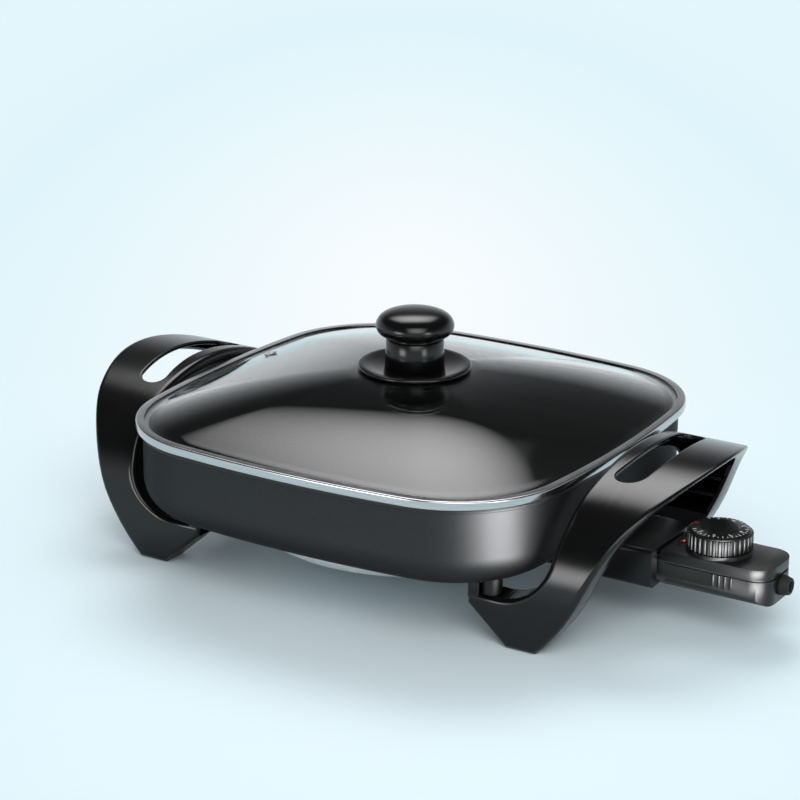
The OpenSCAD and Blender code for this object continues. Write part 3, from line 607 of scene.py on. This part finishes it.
lid_glass = outline("lid_glass_dome", glass_out, glass_top_edge)
now = 1.0
for s in [flange] + [flange - (flange - cap) * (i + 1) / rings for i in range(rings)]:
    bpy.ops.mesh.extrude_region_move(TRANSFORM_OT_translate={"value": (0, 0, dome(s) - dome(now))})
    bpy.ops.transform.resize(value=(s / now, s / now, 1), center_override=(0, 0, 0))
    now = s
bpy.ops.mesh.edge_face_add()
bpy.ops.mesh.inset(thickness=seat_inset)
bpy.ops.mesh.select_all(action="SELECT")
bpy.ops.mesh.normals_make_consistent(inside=False)
pick(lid_glass, "FACE", lambda f, m: True)
if bmesh.from_edit_mesh(lid_glass.data).faces[0].normal.z < 0:
    bpy.ops.mesh.flip_normals()
modifier(lid_glass, "SOLIDIFY", thickness=glass_thick, offset=-1)
smooth(lid_glass, 40)
dress(lid_glass, glass, "lid", "tempered_glass", "lid_glass")
glass_top = glass_top_edge + dome_rise
print("glass top:", round(glass_top / MM, 1), "mm")

# %% [markdown]
# The knob is turned: a stem with a groove, and a cap like a flattened ball. It stands in a thin round dish.
# Both could be cut from stacked cylinders, but a profile spun about the upright axis gives the whole curve
# at once.

# %% The knob and its flange
base_top = glass_top + 0.0045
dish = glass_top + 1.1 * MM
knob_top = base_top + 0.035
cap_r, stem_r = 0.0254, 0.0194
cap_z = base_top + 0.0178
cap_h = knob_top - cap_z
edge_r = 0.37 * cap_h
groove = ((-0.7, -2.6), (-1.2, -2.1), (-1.9, -1.7), (-2.0, -1.2), (-1.8, -0.7), (-0.8, -0.3))
profile = [(0, dish + 0.05 * MM), (stem_r - 0.5 * MM, dish + 0.05 * MM), (stem_r, dish + 0.6 * MM)]
profile += [(stem_r + out * MM, cap_z + up * MM) for out, up in groove]
profile += arc(cap_r - edge_r, cap_z + edge_r, edge_r, -78, 30, 16)
crest = (profile[-1], (cap_r - 0.16 * cap_h, cap_z + 0.84 * cap_h), (0.55 * cap_r, knob_top), (0, knob_top))
profile += [bezier(*crest, i / 16) for i in range(1, 17)]
knob = lathe("knob_moulding", profile)
smooth(knob, 50)
dress(knob, gloss, "lid", "black_gloss", "knob")

flange_r, flange_edge = 0.037, 1.6 * MM
flange_z = glass_top + 0.05 * MM
profile = [(0, flange_z), (flange_r - 2 * MM, flange_z)]
profile += arc(flange_r - flange_edge, flange_z + flange_edge, flange_edge, -90, 80, 8)
profile += [(flange_r - inwards * MM, flange_z + up * MM) for inwards, up in ((4, 3.0), (8, 2.3), (12, 1.6))]
profile += [(stem_r + 1.5 * MM, dish + 0.2 * MM), (stem_r + 0.5 * MM, dish), (0, dish)]
knob_flange = lathe("knob_flange", profile)
smooth(knob_flange, 40)
dress(knob_flange, gloss, "lid", "black_gloss", "knob_base")

# %% [markdown]
# ## The handles
# Each handle is one moulding: an arch whose legs sweep down to the feet, with arms under the pan.
# Seen from the side its outer edge is one long curve, and seen along the skillet it is an arch with round
# shoulders. These lines are written down first, because every point of the skin lies on them.

# %% The lines that a handle follows
arch_half, arch_top, crown_r, shoulder_r = 0.103, 0.1092, 0.162, 0.067
shoulder_y = arch_half - shoulder_r
crown_z = arch_top - crown_r
shoulder_z = crown_z + math.sqrt((crown_r - shoulder_r) ** 2 - shoulder_y ** 2)
joint_y = shoulder_y * crown_r / (crown_r - shoulder_r)
joint_turn = math.asin(joint_y / crown_r)
joint_along = joint_turn * crown_r
grip_depth, leg_depth = 0.0095, 0.020
inner_r = shoulder_r - leg_depth
inner_z = crown_z + math.sqrt((crown_r - grip_depth - inner_r) ** 2 - shoulder_y ** 2)
inner_drop = inner_z - shoulder_z
grip_x = pan_half + 0.074
arm_end, foot_in, foot_out = pan_half - 0.050, pan_half - 0.023, pan_half - 0.003
arm_tip = arm_top - 0.0073
outer_line = ((foot_out, 0.0), (grip_x - 0.0355, 0.37 * arch_top), (grip_x - 0.049, 0.65 * arch_top),
              (grip_x, arch_top))
leg_x = boss_x + boss_r + 0.5 * MM
leg_r = pan_half + 0.005 - leg_x
leg_z = arm_top + leg_r
arc_start = arc(leg_x, leg_z, leg_r, -15, -90, 1)[0]


def outer_x(z):
    """The outer edge's x at a height, found by halving."""
    low, high = 0.0, 1.0
    for _ in range(40):
        t = (low + high) / 2
        low, high = (t, high) if bezier(*outer_line, t)[1] < z else (low, t)
    return bezier(*outer_line, t)[0]


def inner_x(z):
    """The inner edge's x at a height."""
    if z > arc_start[1]:
        t = (z - arc_start[1]) / (arch_top - arc_start[1])
        return arc_start[0] + (pan_half + 0.0105 - arc_start[0]) * t
    return leg_x + math.sqrt(max(0.0, leg_r ** 2 - (leg_z - max(z, arm_top)) ** 2))


def arch_y(z):
    """Half the arch's width at a height."""
    if z <= shoulder_z:
        return arch_half
    return shoulder_y + math.sqrt(max(0.0, shoulder_r ** 2 - (z - shoulder_z) ** 2))


def arch_point(along):
    """(y, z) on the arch, at a distance along it from the middle of the crown."""
    if along < joint_along:
        turn = along / crown_r
        return crown_r * math.sin(turn), crown_z + crown_r * math.cos(turn)
    turn = joint_turn + (along - joint_along) / shoulder_r
    return shoulder_y + shoulder_r * math.sin(turn), shoulder_z + shoulder_r * math.cos(turn)


print("shoulders start at", round(shoulder_z / MM, 1), "mm, grip ends at", round(grip_x / MM, 1), "mm")

# %% [markdown]
# The skin is a grid laid over the arch. Its rows run from the inner edge to the outer edge. They bend
# round the ends of the hand slot, where two of the columns part, and lower down they fan out round the bend
# above the arm. Placing the rows by rule is truer here than pushing vertices by eye.

# %% Rows of the skin
slot_half, slot_w, slot_bow, slot_x = 0.050, 0.019, 0.230, pan_half + 0.032
edge_in, slot_in = 4.4 * MM, 1.9 * MM
grip_low = 0.09
fan_low, fan_z = -62.5, 0.012
straight_rows, straight_end, edge_step, low_rows = 6, 0.030, 0.0045, 10
slot_fade = 0.06


def slot_middle(y):
    """The x of the bowed slot's middle line. Past the slot's end it stays as it is there."""
    return slot_x - slot_bow + math.sqrt(slot_bow ** 2 - min(abs(y), slot_half) ** 2)


def split(a, b, near, far):
    """Five steps from a to b, with a short first and last step."""
    rest = b - a - near - far
    return [a, a + near, a + near + rest * 0.33, a + near + rest * 0.67, b - far, b]


def arch_row(edge, middle, half, slot_y):
    """A row whose ends lie at edge along the arch, and whose middle lies at middle."""
    z = arch_point(edge)[1]
    x0, x1 = inner_x(z), outer_x(z)
    centre = slot_middle(slot_y)
    centre += ((x0 + x1) / 2 - centre) * min(1.0, max(0.0, middle - slot_half) / slot_fade)
    points = []
    for ends, xs in (((x0, centre - half), split(x0, centre - half, edge_in, slot_in)),
                     ((x1, centre + half), split(centre + half, x1, slot_in, edge_in))):
        for x in xs:
            share = (x - ends[0]) / (ends[1] - ends[0])
            y, z = arch_point(edge + (middle - edge) * share)
            points.append((x, y, z))
    return points


def fanned_row(inner, outer):
    """A straight row on the flat leg, from one (x, z) point to another."""
    length = math.hypot(outer[0] - inner[0], outer[1] - inner[1])
    near, far = edge_in / length, slot_in / length
    points = []
    for t in split(0.0, 0.5, near, far) + split(0.5, 1.0, far, near):
        x, z = inner[0] + (outer[0] - inner[0]) * t, inner[1] + (outer[1] - inner[1]) * t
        points.append((x, arch_y(z), z))
    return points


end_r = slot_w / 2
straight = slot_half - end_r
slot_edge = [(y * MM, end_r) for y in (0, 6, 12, 18, 24, 30, 35.5)]
slot_edge += [(straight + end_r * math.sin(math.radians(a)), end_r * math.cos(math.radians(a)))
              for a in (0, 15, 30, 45, 60, 75, 90)]
rows = []
for i, (y, half) in enumerate(slot_edge):
    middle = crown_r * math.asin(y / crown_r)
    edge = middle if i < straight_rows else straight_end + (i - straight_rows + 1) * edge_step
    rows.append(arch_row(edge, middle, half, y))
low_turn = math.acos((arc_start[1] - shoulder_z) / shoulder_r)
low_along = joint_along + (low_turn - joint_turn) * shoulder_r
for i in range(1, low_rows + 1):
    low_edge = edge + (low_along - edge) * i / low_rows
    low_middle = middle + (low_along - middle) * i / low_rows
    rows.append(arch_row(low_edge, low_middle, 0.0, slot_half))
fan = arc(leg_x, leg_z, leg_r, -15, fan_low, 6)[1:]
for i, inner in enumerate(fan):
    z = arc_start[1] + (fan_z - arc_start[1]) * (i + 1) / len(fan)
    rows.append(fanned_row(inner, (outer_x(z), z)))
last_row = rows[-1]
rows = [[(x, -y, z) for x, y, z in row] for row in reversed(rows[1:])] + rows
print("rows:", len(rows), "columns:", len(rows[0]))

# %% [markdown]
# The rows become the moulding's outer skin. A grid with as many rows and columns is added, and its points go
# to the rows' places. The two middle columns merge where there is no hand slot, and where there is one the
# faces between them are deleted, so the slot needs no cut.

# %% Skin of the right handle
nothing_selected()
bpy.ops.mesh.primitive_grid_add(x_subdivisions=len(rows[0]) - 1, y_subdivisions=len(rows) - 1, size=1)
handle = bpy.context.object
handle.name = handle.data.name = "right_handle_moulding"
order = sorted(handle.data.vertices, key=lambda v: (round(v.co.y, 4), round(v.co.x, 4)))
for place, vertex in enumerate(order):
    vertex.co = rows[place // len(rows[0])][place % len(rows[0])]
work_on(handle)


def in_slot(face):
    """Whether a face fills the gap between the two middle columns."""
    y = max(abs(v.co.y) for v in face.verts)
    x = sum(v.co.x for v in face.verts) / 4
    return y < slot_half + 0.01 * MM and abs(x - slot_middle(y)) < 2 * MM


pick(handle, "FACE", lambda f, m: f.normal.z > 0.5 and in_slot(f))
bpy.ops.mesh.delete(type="FACE")
bpy.ops.mesh.select_all(action="SELECT")
bpy.ops.mesh.remove_doubles(threshold=0.05 * MM)
print("skin faces:", len(bmesh.from_edit_mesh(handle.data).faces))

# %% [markdown]
# Below the shoulders the skin is flat. There one vertex is drawn along the outline of the arm and the foot
# until it meets the other end of the last row, and the closed loop is filled with a single face.

# %% Arms and feet
foot_line = arc(leg_x, leg_z, leg_r, fan_low, -90, 6)[1:]
foot_line += [(arm_end, arm_top), (arm_end, arm_tip), (foot_in, 0), (foot_out, 0)]
foot_line += [(outer_x(fan_z * share), fan_z * share) for share in (0.33, 0.67, 1.0)]


def near_last_row(p):
    """Whether a point lies on the line of the skin's last row."""
    (x0, _, z0), (x1, _, z1) = last_row[0], last_row[-1]
    across = (p.x - x0) * (z1 - z0) - (p.z - z0) * (x1 - x0)
    return abs(across) / math.hypot(x1 - x0, z1 - z0) < 0.02 * MM and abs(p.y) > arch_half - 0.02 * MM


for side in (-1, 1):
    first = Vector((last_row[0][0], side * arch_half, last_row[0][2]))
    pick(handle, "VERT", lambda v, m: (m - first).length < 0.02 * MM)
    chain(first, [(x, side * arch_half, z) for x, z in foot_line])
    bpy.ops.mesh.select_all(action="SELECT")
    bpy.ops.mesh.remove_doubles(threshold=0.05 * MM)
    count = pick(handle, "EDGE", lambda e, m: m.y * side > 0 and (not e.link_faces or len(e.link_faces) == 1
                 and near_last_row(e.verts[0].co) and near_last_row(e.verts[1].co)))
    bpy.ops.mesh.edge_face_add()
    print("foot outline edges:", count)

# %% [markdown]
# The outer border is now turned in: its edges are extruded, and the new ones are moved in square to the
# arch, 20 mm on the legs and less under the grip. The corner between skin and border gets a wide bevel,
# because a moulding has no sharp edge there.

# %% Turned-in edges
border_round = 3.4 * MM
border_width = 6 * MM


def on_border(edge, m):
    between = inner_x(m.z) + border_width < m.x < outer_x(m.z) - border_width
    near_slot = between and abs(m.y) < slot_half + MM and m.z > grip_low
    return len(edge.link_faces) == 1 and not near_slot


def turned_in(p):
    """Where a point of the border comes to lie when it is moved in, square to the arch."""
    side = 1 if p.y > 0 else -1
    y, z, depth = abs(p.y), p.z, grip_depth
    if y <= joint_y:
        ny, nz = y / crown_r, (z - crown_z) / crown_r
    else:
        nz = max(0.0, (z - shoulder_z) / shoulder_r)
        ny = math.sqrt(1 - nz * nz)
        inner = math.sqrt(inner_r ** 2 - (inner_drop * ny) ** 2)
        depth = min(leg_depth, shoulder_r - inner_drop * nz - inner)
    y, z, x = y - ny * depth, z - nz * depth, p.x
    if p.z > shoulder_z + MM and abs(p.x - outer_x(p.z)) < 0.5 * MM:
        x = outer_x(z)
    elif p.z > shoulder_z + MM and z > arm_top + 2 * MM:
        x = inner_x(z)
    return Vector((x, side * y, z))


print("border edges:", pick(handle, "EDGE", on_border))
bpy.ops.mesh.mark_seam()
bpy.ops.mesh.extrude_edges_move(TRANSFORM_OT_translate={"value": (0, 0, 0)})
mesh = bmesh.from_edit_mesh(handle.data)
for v in mesh.verts:
    if v.select:
        v.co = turned_in(v.co)
bmesh.update_edit_mesh(handle.data)
pick(handle, "EDGE", lambda e, m: e.seam and len(e.link_faces) == 2)
bpy.ops.mesh.bevel(offset=border_round, segments=5, affect="EDGES")
bpy.ops.mesh.select_all(action="SELECT")
bpy.ops.mesh.remove_doubles(threshold=0.06 * MM)
bpy.ops.mesh.normals_make_consistent(inside=False)
if pick(handle, "FACE", lambda f, m: m.z > arch_top - MM and f.normal.z < -0.9):
    bpy.ops.mesh.select_all(action="SELECT")
    bpy.ops.mesh.flip_normals()

# %% [markdown]
# Solidify gives the wall. A vertex group makes it thinner in two places: on the arm and the foot, which
# are filled inside, and along the outer edge of the grip, where skin and border meet in a narrow wedge.
# Last, the edges of the hand slot and the free edge of the border are rounded a little. At the ends of the
# slot two edges would pull that bevel aside, so they are dissolved first.

# %% Wall of the right handle
handle_wall, thin_share = 2.8 * MM, 0.4
arm_fill = 4.5 * MM
foot_y, wedge_z = 0.08, 0.045


def on_free_edge(p):
    """Whether a point lies on the arch's inner line, where the border ends."""
    y = abs(p.y)
    if p.z < inner_z:
        gap = y - shoulder_y - inner_r
    elif y > shoulder_y * (crown_r - grip_depth) / (crown_r - grip_depth - inner_r):
        gap = math.hypot(y - shoulder_y, p.z - inner_z) - inner_r
    else:
        gap = math.hypot(y, p.z - crown_z) - crown_r + grip_depth
    return abs(gap) < 0.5 * MM


def on_slot_edge(p):
    past = max(0.0, abs(p.y) - straight)
    return p.z > grip_low and abs(math.hypot(p.x - slot_middle(p.y), past) - end_r) < 0.5 * MM


def thin_wall(vertex, m):
    on_foot = m.z < arm_top + arm_fill and abs(m.y) > foot_y
    return on_foot or m.z > wedge_z and m.x > outer_x(m.z) - border_width and not on_free_edge(m)


print("vertices with a thin wall:", pick(handle, "VERT", thin_wall))
bpy.ops.object.vertex_group_assign_new()
handle.vertex_groups[0].name = "thin_wall"
modifier(handle, "SOLIDIFY", thickness=handle_wall, offset=-1, vertex_group="thin_wall",
         invert_vertex_group=True, thickness_vertex_group=thin_share)
work_on(handle)
tip_x = slot_middle(slot_half)


def from_slot_end(p):
    return math.hypot(p.x - tip_x, abs(p.y) - slot_half)


def beside_slot_end(edge, m):
    near, far = sorted((v.co for v in edge.verts), key=from_slot_end)
    return from_slot_end(near) < 0.3 * MM and abs(far.x - tip_x) > MM and not on_slot_edge(far)


print("edges beside the slot's ends:", pick(handle, "EDGE", beside_slot_end))
bpy.ops.mesh.dissolve_edges(use_verts=False)
for test, width in ((on_slot_edge, 0.9 * MM), (on_free_edge, 0.4 * MM)):
    count = pick(handle, "EDGE", lambda e, m: test(e.verts[0].co) and test(e.verts[1].co)
                 and math.radians(50) < e.calc_face_angle(0) < math.radians(130))
    bpy.ops.mesh.bevel(offset=width, segments=3, affect="EDGES")
    print("rounded edges:", count)
smooth(handle, 40)

# %% [markdown]
# Behind the skin the arm and the foot are filled, where the screw goes up into the pan. Two ribs stiffen
# each leg, and a tab on the arm's tip stops just under the pan. They could be grown out of the skin, but as
# simple blocks that reach into its wall they leave its smooth shading as it is.

# %% Filled foot, ribs and tabs
rib_sheet, tab_width, skin, fill_depth = 2.5 * MM, 0.008, 0.004, 0.0166
rib_zone = (arch_top - arm_top) / 2
back_y = arch_half - leg_depth + 0.4 * MM
fill_line = arc(leg_x, leg_z, leg_r, -58, -90, 6)
fill_line += [(arm_end, arm_top), (arm_end, arm_tip), (foot_in, 0), (foot_out, 0)]
fill_line += [(outer_x(z * MM), z * MM) for z in (6, 12, 18, 24, 30, 36)]
fills = []


def soft_block(low, high, test, width):
    """A block between two corners, with the edges that pass the test rounded."""
    nothing_selected()
    low, high = Vector(low), Vector(high)
    bpy.ops.mesh.primitive_cube_add(size=1, location=(low + high) / 2, scale=high - low)
    bpy.ops.object.transform_apply(location=True, rotation=True, scale=True)
    fills.append(bpy.context.object)
    round_edges(fills[-1], test, width)


for side in (-1, 1):
    points = [(x, side * back_y, z) for x, z in fill_line]
    fill = single_point("foot_fill", points[0])
    chain(points[0], points[1:])
    bpy.ops.mesh.select_all(action="SELECT")
    bpy.ops.mesh.edge_face_add()
    bpy.ops.mesh.inset(thickness=MM)
    bpy.ops.mesh.select_all(action="INVERT")
    bpy.ops.mesh.delete(type="FACE")
    bpy.ops.mesh.select_all(action="SELECT")
    bpy.ops.mesh.extrude_region_move(TRANSFORM_OT_translate={"value": (0, side * fill_depth, 0)})
    bpy.ops.mesh.select_all(action="SELECT")
    bpy.ops.mesh.normals_make_consistent(inside=False)
    nothing_selected()
    fills.append(fill)
    for i in (1, 2):
        z = arm_top + arm_fill + i * rib_zone / 3
        y0 = shoulder_y + math.sqrt(inner_r ** 2 - max(0.0, z - inner_z) ** 2) + 0.4 * MM
        y1 = arch_y(z) - skin / 2
        y0, y1 = sorted((side * y0, side * y1))
        soft_block((inner_x(z) + skin / 2, y0, z), (outer_x(z) - skin * 0.7, y1, z + rib_sheet),
                   lambda e, m: abs(m.y) < min(abs(y0), abs(y1)) + 0.1 * MM, 0.8 * MM)
    y0, y1 = sorted((side * (arch_half - skin), side * (arch_half - 0.6 * MM)))
    soft_block((arm_end, y0, arm_top - 3 * MM), (arm_end + tab_width, y1, floor_under - 0.4 * MM),
               lambda e, m: m.z > arm_top, 1.2 * MM)
core = join(fills, "right_handle_ribs")
smooth(core, 30)

# %% [markdown]
# The left handle is the mirror image of the right one. A Mirror modifier would tie the two together as one
# piece, so the finished meshes are copied, turned over and named as pieces of their own.

# %% The left handle
def mirror_copy(piece, name):
    """A mirror image, turned right side out."""
    copy = copy_of(piece)
    copy.name = copy.data.name = name
    work_on(copy)
    bpy.ops.mesh.select_all(action="SELECT")
    bpy.ops.transform.resize(value=(-1, 1, 1), center_override=(0, 0, 0))
    bpy.ops.mesh.flip_normals()
    smooth(copy, 40)
    return copy


left_handle = mirror_copy(handle, "left_handle_moulding")
left_core = mirror_copy(core, "left_handle_ribs")

# %% [markdown]
# Smooth shading spreads the turn of a narrow rounding onto the wide faces beside it, which shows as a dark
# smear at the ends of the hand slot. A weighted normal lets the wide faces keep their own direction.

# %% Clean shading round the hand slots
for piece, side in ((handle, 1), (left_handle, -1)):
    work_on(piece)
    count = pick(piece, "VERT", lambda v, m: m.z > grip_low and abs(m.y) < slot_half + 4 * MM
                 and abs(side * m.x - slot_middle(m.y)) < end_r + 1.4 * MM)
    bpy.ops.object.vertex_group_assign_new()
    piece.vertex_groups[-1].name = "slot_rim"
    modifier(piece, "WEIGHTED_NORMAL", vertex_group="slot_rim", keep_sharp=True)
    print(piece.name, "vertices round the slot:", count)
dress(handle, gloss, "skillet", "black_gloss", "right_handle")
dress(core, gloss, "skillet", "black_gloss")
dress(left_handle, gloss, "skillet", "black_gloss", "left_handle")
dress(left_core, gloss, "skillet", "black_gloss")

# %% [markdown]
# ## The guard, the control and the dial
# Their solids already have the right shape, and pieces modelled anew could only drift away from it. So
# copies are cleaned of needless edges and get soft ones where a moulding has them.

# %% Soft-edged copies of solids
flat_angle, sharp_angle = math.radians(0.6), math.radians(35)


def soft_copy(node, name, width):
    """A copy of a solid with its flat faces made whole and its edges rounded, unless the width is 0."""
    nothing_selected()
    piece = nodes[node].copy()
    piece.data = nodes[node].data.copy()
    piece.parent = None
    for key in list(piece.keys()):
        del piece[key]
    bpy.context.scene.collection.objects.link(piece)
    piece.name = piece.data.name = name
    work_on(piece)
    bpy.ops.mesh.select_all(action="SELECT")
    bpy.ops.mesh.remove_doubles(threshold=0.01 * MM)
    bpy.ops.mesh.dissolve_limited(angle_limit=flat_angle)
    if width:
        modifier(piece, "BEVEL", width=width, segments=3, limit_method="ANGLE", angle_limit=sharp_angle)
    smooth(piece)
    return piece


copies = (("terminal_guard", "guard_shroud", 0.7, "skillet"),
          ("control_base", "control_lower_shell", 0.4, "control"),
          ("control_cover", "control_upper_shell", 0.5, "control"),
          ("temperature_dial", "dial_moulding", 0.2, "dial"),
          ("heater_plate", "heater_casting", 0, "skillet"),
          ("indicator_lens", "pilot_lens", 0, "control"),
          ("vent_grommet", "vent_eyelet", 0.15, "lid"),
          ("cord_bush", "cord_inlet_bush", 0.4, "control"))
for node, name, width, body in copies:
    slot = slot_of_node[node]
    dress(soft_copy(node, name, width * MM), finish_of_slot[slot], body, slot, node)

# %% [markdown]
# The dial has printed marks: short lines round the edge, plain numbers, and a red mark for off. Ink could be
# a pattern in the dial's finish. Thin raised pieces stay crisp from close by, and they turn with the dial.

# %% Dial print
dial_low, dial_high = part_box("temperature_dial")
dial_x = (dial_low[0] + dial_high[0]) / 2
print_z = dial_high[2] - 1.0 * MM
mark_r, figure_r, figure_size, ink = 17.6 * MM, 13.6 * MM, 5.6 * MM, 0.16 * MM
first_angle, mark_step, figure_step = -140, 10, 40


def dial_mark(angle, long, wide):
    """A line with rounded ends that points at the dial's middle."""
    nothing_selected()
    bpy.ops.mesh.primitive_cube_add(size=1, scale=(long, wide, ink), location=(mark_r - long / 2, 0, 0))
    bpy.ops.object.transform_apply(location=True, rotation=True, scale=True)
    mark = bpy.context.object
    round_edges(mark, lambda e, m: abs(e.verts[0].co.z - e.verts[1].co.z) > 0.1 * MM, 0.12 * MM, 2)
    put(mark, (dial_x, 0, print_z), angle)
    return mark


marks = [dial_mark(math.radians(first_angle + mark_step * i), 1.5 * MM if i % 4 else 2.6 * MM, 0.5 * MM)
         for i in range(29)]
off_mark = dial_mark(math.pi, 4.5 * MM, 1.6 * MM)
off_mark.name = off_mark.data.name = "dial_off_mark"
dress(off_mark, red, "dial", "red_lens")
for i in range(7):
    angle = math.radians(first_angle + figure_step * (i + 0.5))
    nothing_selected()
    bpy.ops.object.text_add()
    text = bpy.context.object
    text.data.body = str(i + 1)
    text.data.size = figure_size
    text.data.align_x, text.data.align_y = "CENTER", "CENTER"
    text.data.extrude = 0.07 * MM
    bpy.ops.object.convert(target="MESH")
    text = bpy.context.object
    put(text, (dial_x + figure_r * math.cos(angle), figure_r * math.sin(angle), print_z + 0.15 * MM),
        angle - math.pi / 2)
    marks.append(text)
print("marks and numbers:", len(marks))
dress(join(marks, "dial_print"), white, "dial", "black_satin")

# %% [markdown]
# ## Stage, light and camera
# A wide pale floor carries a soft shadow. Close to the skillet it is lit like anything else; further out it
# gives its own pale colour to what looks at it, so the background stays even without more light.

# %% Floor
nothing_selected()
bpy.ops.mesh.primitive_plane_add(size=14)
floor = bpy.context.object
floor.name = "floor"
bpy.ops.object.mode_set(mode="EDIT")
bpy.ops.mesh.subdivide(number_cuts=4)
nothing_selected()
camera_turn = math.radians(31.38)
pale = Finish("pale_floor", roughness=0.9, specular_ior_level=0.1)
# The floor's colour is painted whiter round a point behind the skillet and bluer further out. This is a
# painted pool of light, both where the floor is lit and where it glows.
turned = pale.node("ShaderNodeMapping", {"vector_type": "TEXTURE"},
                   {"Vector": pale.place, "Rotation": (0, 0, camera_turn),
                    "Location": (-0.30, 0.49, 0), "Scale": (0.526, 1.667, 1)}, out="Vector")
away = pale.node("ShaderNodeVectorMath", {"operation": "LENGTH"}, {0: turned}, out="Value")
tint = pale.colours(away, [(0.10, (0.925, 0.967, 0.990, 1)), (0.50, (0.80, 0.93, 0.975, 1)),
                           (0.75, (0.745, 0.912, 0.965, 1)), (1.0, (0.76, 0.92, 0.97, 1))])
pale.feed("Base Color", tint)
reach = pale.node("ShaderNodeVectorMath", {"operation": "LENGTH"}, {0: pale.place}, out="Value")
far = pale.node("ShaderNodeMapRange", {"interpolation_type": "SMOOTHSTEP"},
                {"Value": reach, "From Min": 0.23, "From Max": 0.52}, out="Result")


def looked_at(finish):
    """1 for a ray from the camera, a mirror or glass, and 0 for light that falls on something dull."""
    rays = [finish.node("ShaderNodeLightPath", out=name)
            for name in ("Is Camera Ray", "Is Glossy Ray", "Is Transmission Ray")]
    either = finish.node("ShaderNodeMath", {"operation": "MAXIMUM"}, {0: rays[0], 1: rays[1]})
    return finish.node("ShaderNodeMath", {"operation": "MAXIMUM"}, {0: either, 1: rays[2]})


glow = pale.node("ShaderNodeEmission", None, {"Color": tint, "Strength": 1.0}, out="Emission")
lit = Value(pale, pale.shader.outputs["BSDF"])
both = pale.node("ShaderNodeMixShader", None, {0: looked_at(pale) * far, 1: lit, 2: glow}, out="Shader")
pale.tree.links.new(both.socket, pale.tree.nodes["Material Output"].inputs["Surface"])
floor.data.materials.append(pale.material)
print(pale)

# %% [markdown]
# The room is a plain grey studio: an even light on everything, a pale horizon, and a dark ceiling so that
# glossy black keeps its depth. Two softboxes light the skillet, one from behind and one from above the
# camera. Two low strips at the sides and a small card on the floor only draw highlights, and the card only
# on some pieces, so that the glossy legs stay dark.

# %% World and lamps
world = bpy.data.worlds.new("studio")
bpy.context.scene.world = world
world.use_nodes = True


class Studio(Finish):
    """The same ways to add nodes, for a tree that isn't a material's."""

    def __init__(self, tree):
        self.tree = tree


studio = Studio(world.node_tree)
sky = world.node_tree.nodes["Background"]
sky.inputs["Color"].default_value = (0.93, 0.97, 1.0, 1)
direction = studio.node("ShaderNodeTexCoord", out="Generated")
height = studio.node("ShaderNodeSeparateXYZ", None, {"Vector": direction}, out="Z")
shown = studio.node("ShaderNodeMapRange", {"interpolation_type": "SMOOTHSTEP"},
                    {"Value": height, "From Min": 0.04, "From Max": 0.52, "To Min": 0.9, "To Max": 0.05},
                    out="Result")
even_light = 0.44
seen = looked_at(studio)
level = seen * shown + (1 - seen) * even_light
world.node_tree.links.new(level.socket, sky.inputs["Strength"])


def softbox(name, place, aim, size, radiance, highlights_only=False):
    """A rectangular lamp that is brightest in the middle and fades towards its edges."""
    nothing_selected()
    bpy.ops.object.light_add(type="AREA", location=place)
    light = bpy.context.object
    light.name = name
    light.data.shape = "RECTANGLE"
    light.data.size, light.data.size_y = size
    light.data.energy = radiance * math.pi * size[0] * size[1]
    light.data.use_nodes = True
    cloth = Studio(light.data.node_tree)
    across = cloth.node("ShaderNodeNewGeometry", out="Parametric")
    u = cloth.node("ShaderNodeSeparateXYZ", None, {"Vector": across}, out="X")
    v = cloth.node("ShaderNodeSeparateXYZ", None, {"Vector": across}, out="Y")
    fade = 16 * (u * (1 - u)) * (v * (1 - v))
    cloth.tree.links.new(fade.socket, cloth.tree.nodes["Emission"].inputs["Strength"])
    light.rotation_euler = (Vector(aim) - Vector(place)).to_track_quat("-Z", "Y").to_euler()
    light.visible_camera = light.visible_transmission = False
    light.visible_diffuse = not highlights_only
    print(name, round(light.data.energy, 1), "W")
    return light


softbox("back_softbox", (-0.58, 0.85, 1.65), (0.15, -0.05, 0.1), (1.54, 1.20), 6.6)
softbox("left_strip", (-0.45, -1.50, 0.28), (0.1, -0.1, 0.1), (0.8, 0.62), 8.0, True)
softbox("right_strip", (1.50, -0.60, 0.36), (0.12, -0.12, 0.08), (0.60, 0.78), 6.0, True)
softbox("front_softbox", (0.98, -1.33, 1.42), (0, 0, 0.12), (2.1, 1.8), 4.4)
card = softbox("floor_card", (0.335, -0.172, 0.003), (0.335, -0.172, 1.0), (0.26, 0.21), 46.0, True)
card.light_linking.receiver_collection = bpy.data.collections.new("lit_by_floor_card")
for name in ("pan_shell", "pan_bosses", "dial_moulding", "control_upper_shell", "control_lower_shell"):
    card.light_linking.receiver_collection.objects.link(bpy.data.objects[name])

# %% [markdown]
# The camera looks as in the photo, through a long lens and with a slight roll. It could be placed by eye, but
# its numbers were solved from the photo's outlines, with the lid's width as the measure. Colours show as they
# are written, with no film curve over them.

# %% Camera
elevation, roll, distance = math.radians(18.78), math.radians(0.45), 1.7695
target = Vector((-0.0206, 0.0159, 0.0982))
flat = math.cos(elevation)
back = Vector((math.sin(camera_turn) * flat, -math.cos(camera_turn) * flat, math.sin(elevation)))
nothing_selected()
bpy.ops.object.camera_add(location=target + back * distance)
camera = bpy.context.object
camera.rotation_euler = ((-back).to_track_quat("-Z", "Y") @ Quaternion((0, 0, 1), roll)).to_euler()
camera.data.sensor_width = 36
camera.data.lens = 120.85
camera.data.clip_end = 50
bpy.context.scene.camera = camera
bpy.context.scene.view_settings.view_transform = "Standard"
print("camera at", [round(c, 3) for c in camera.location])
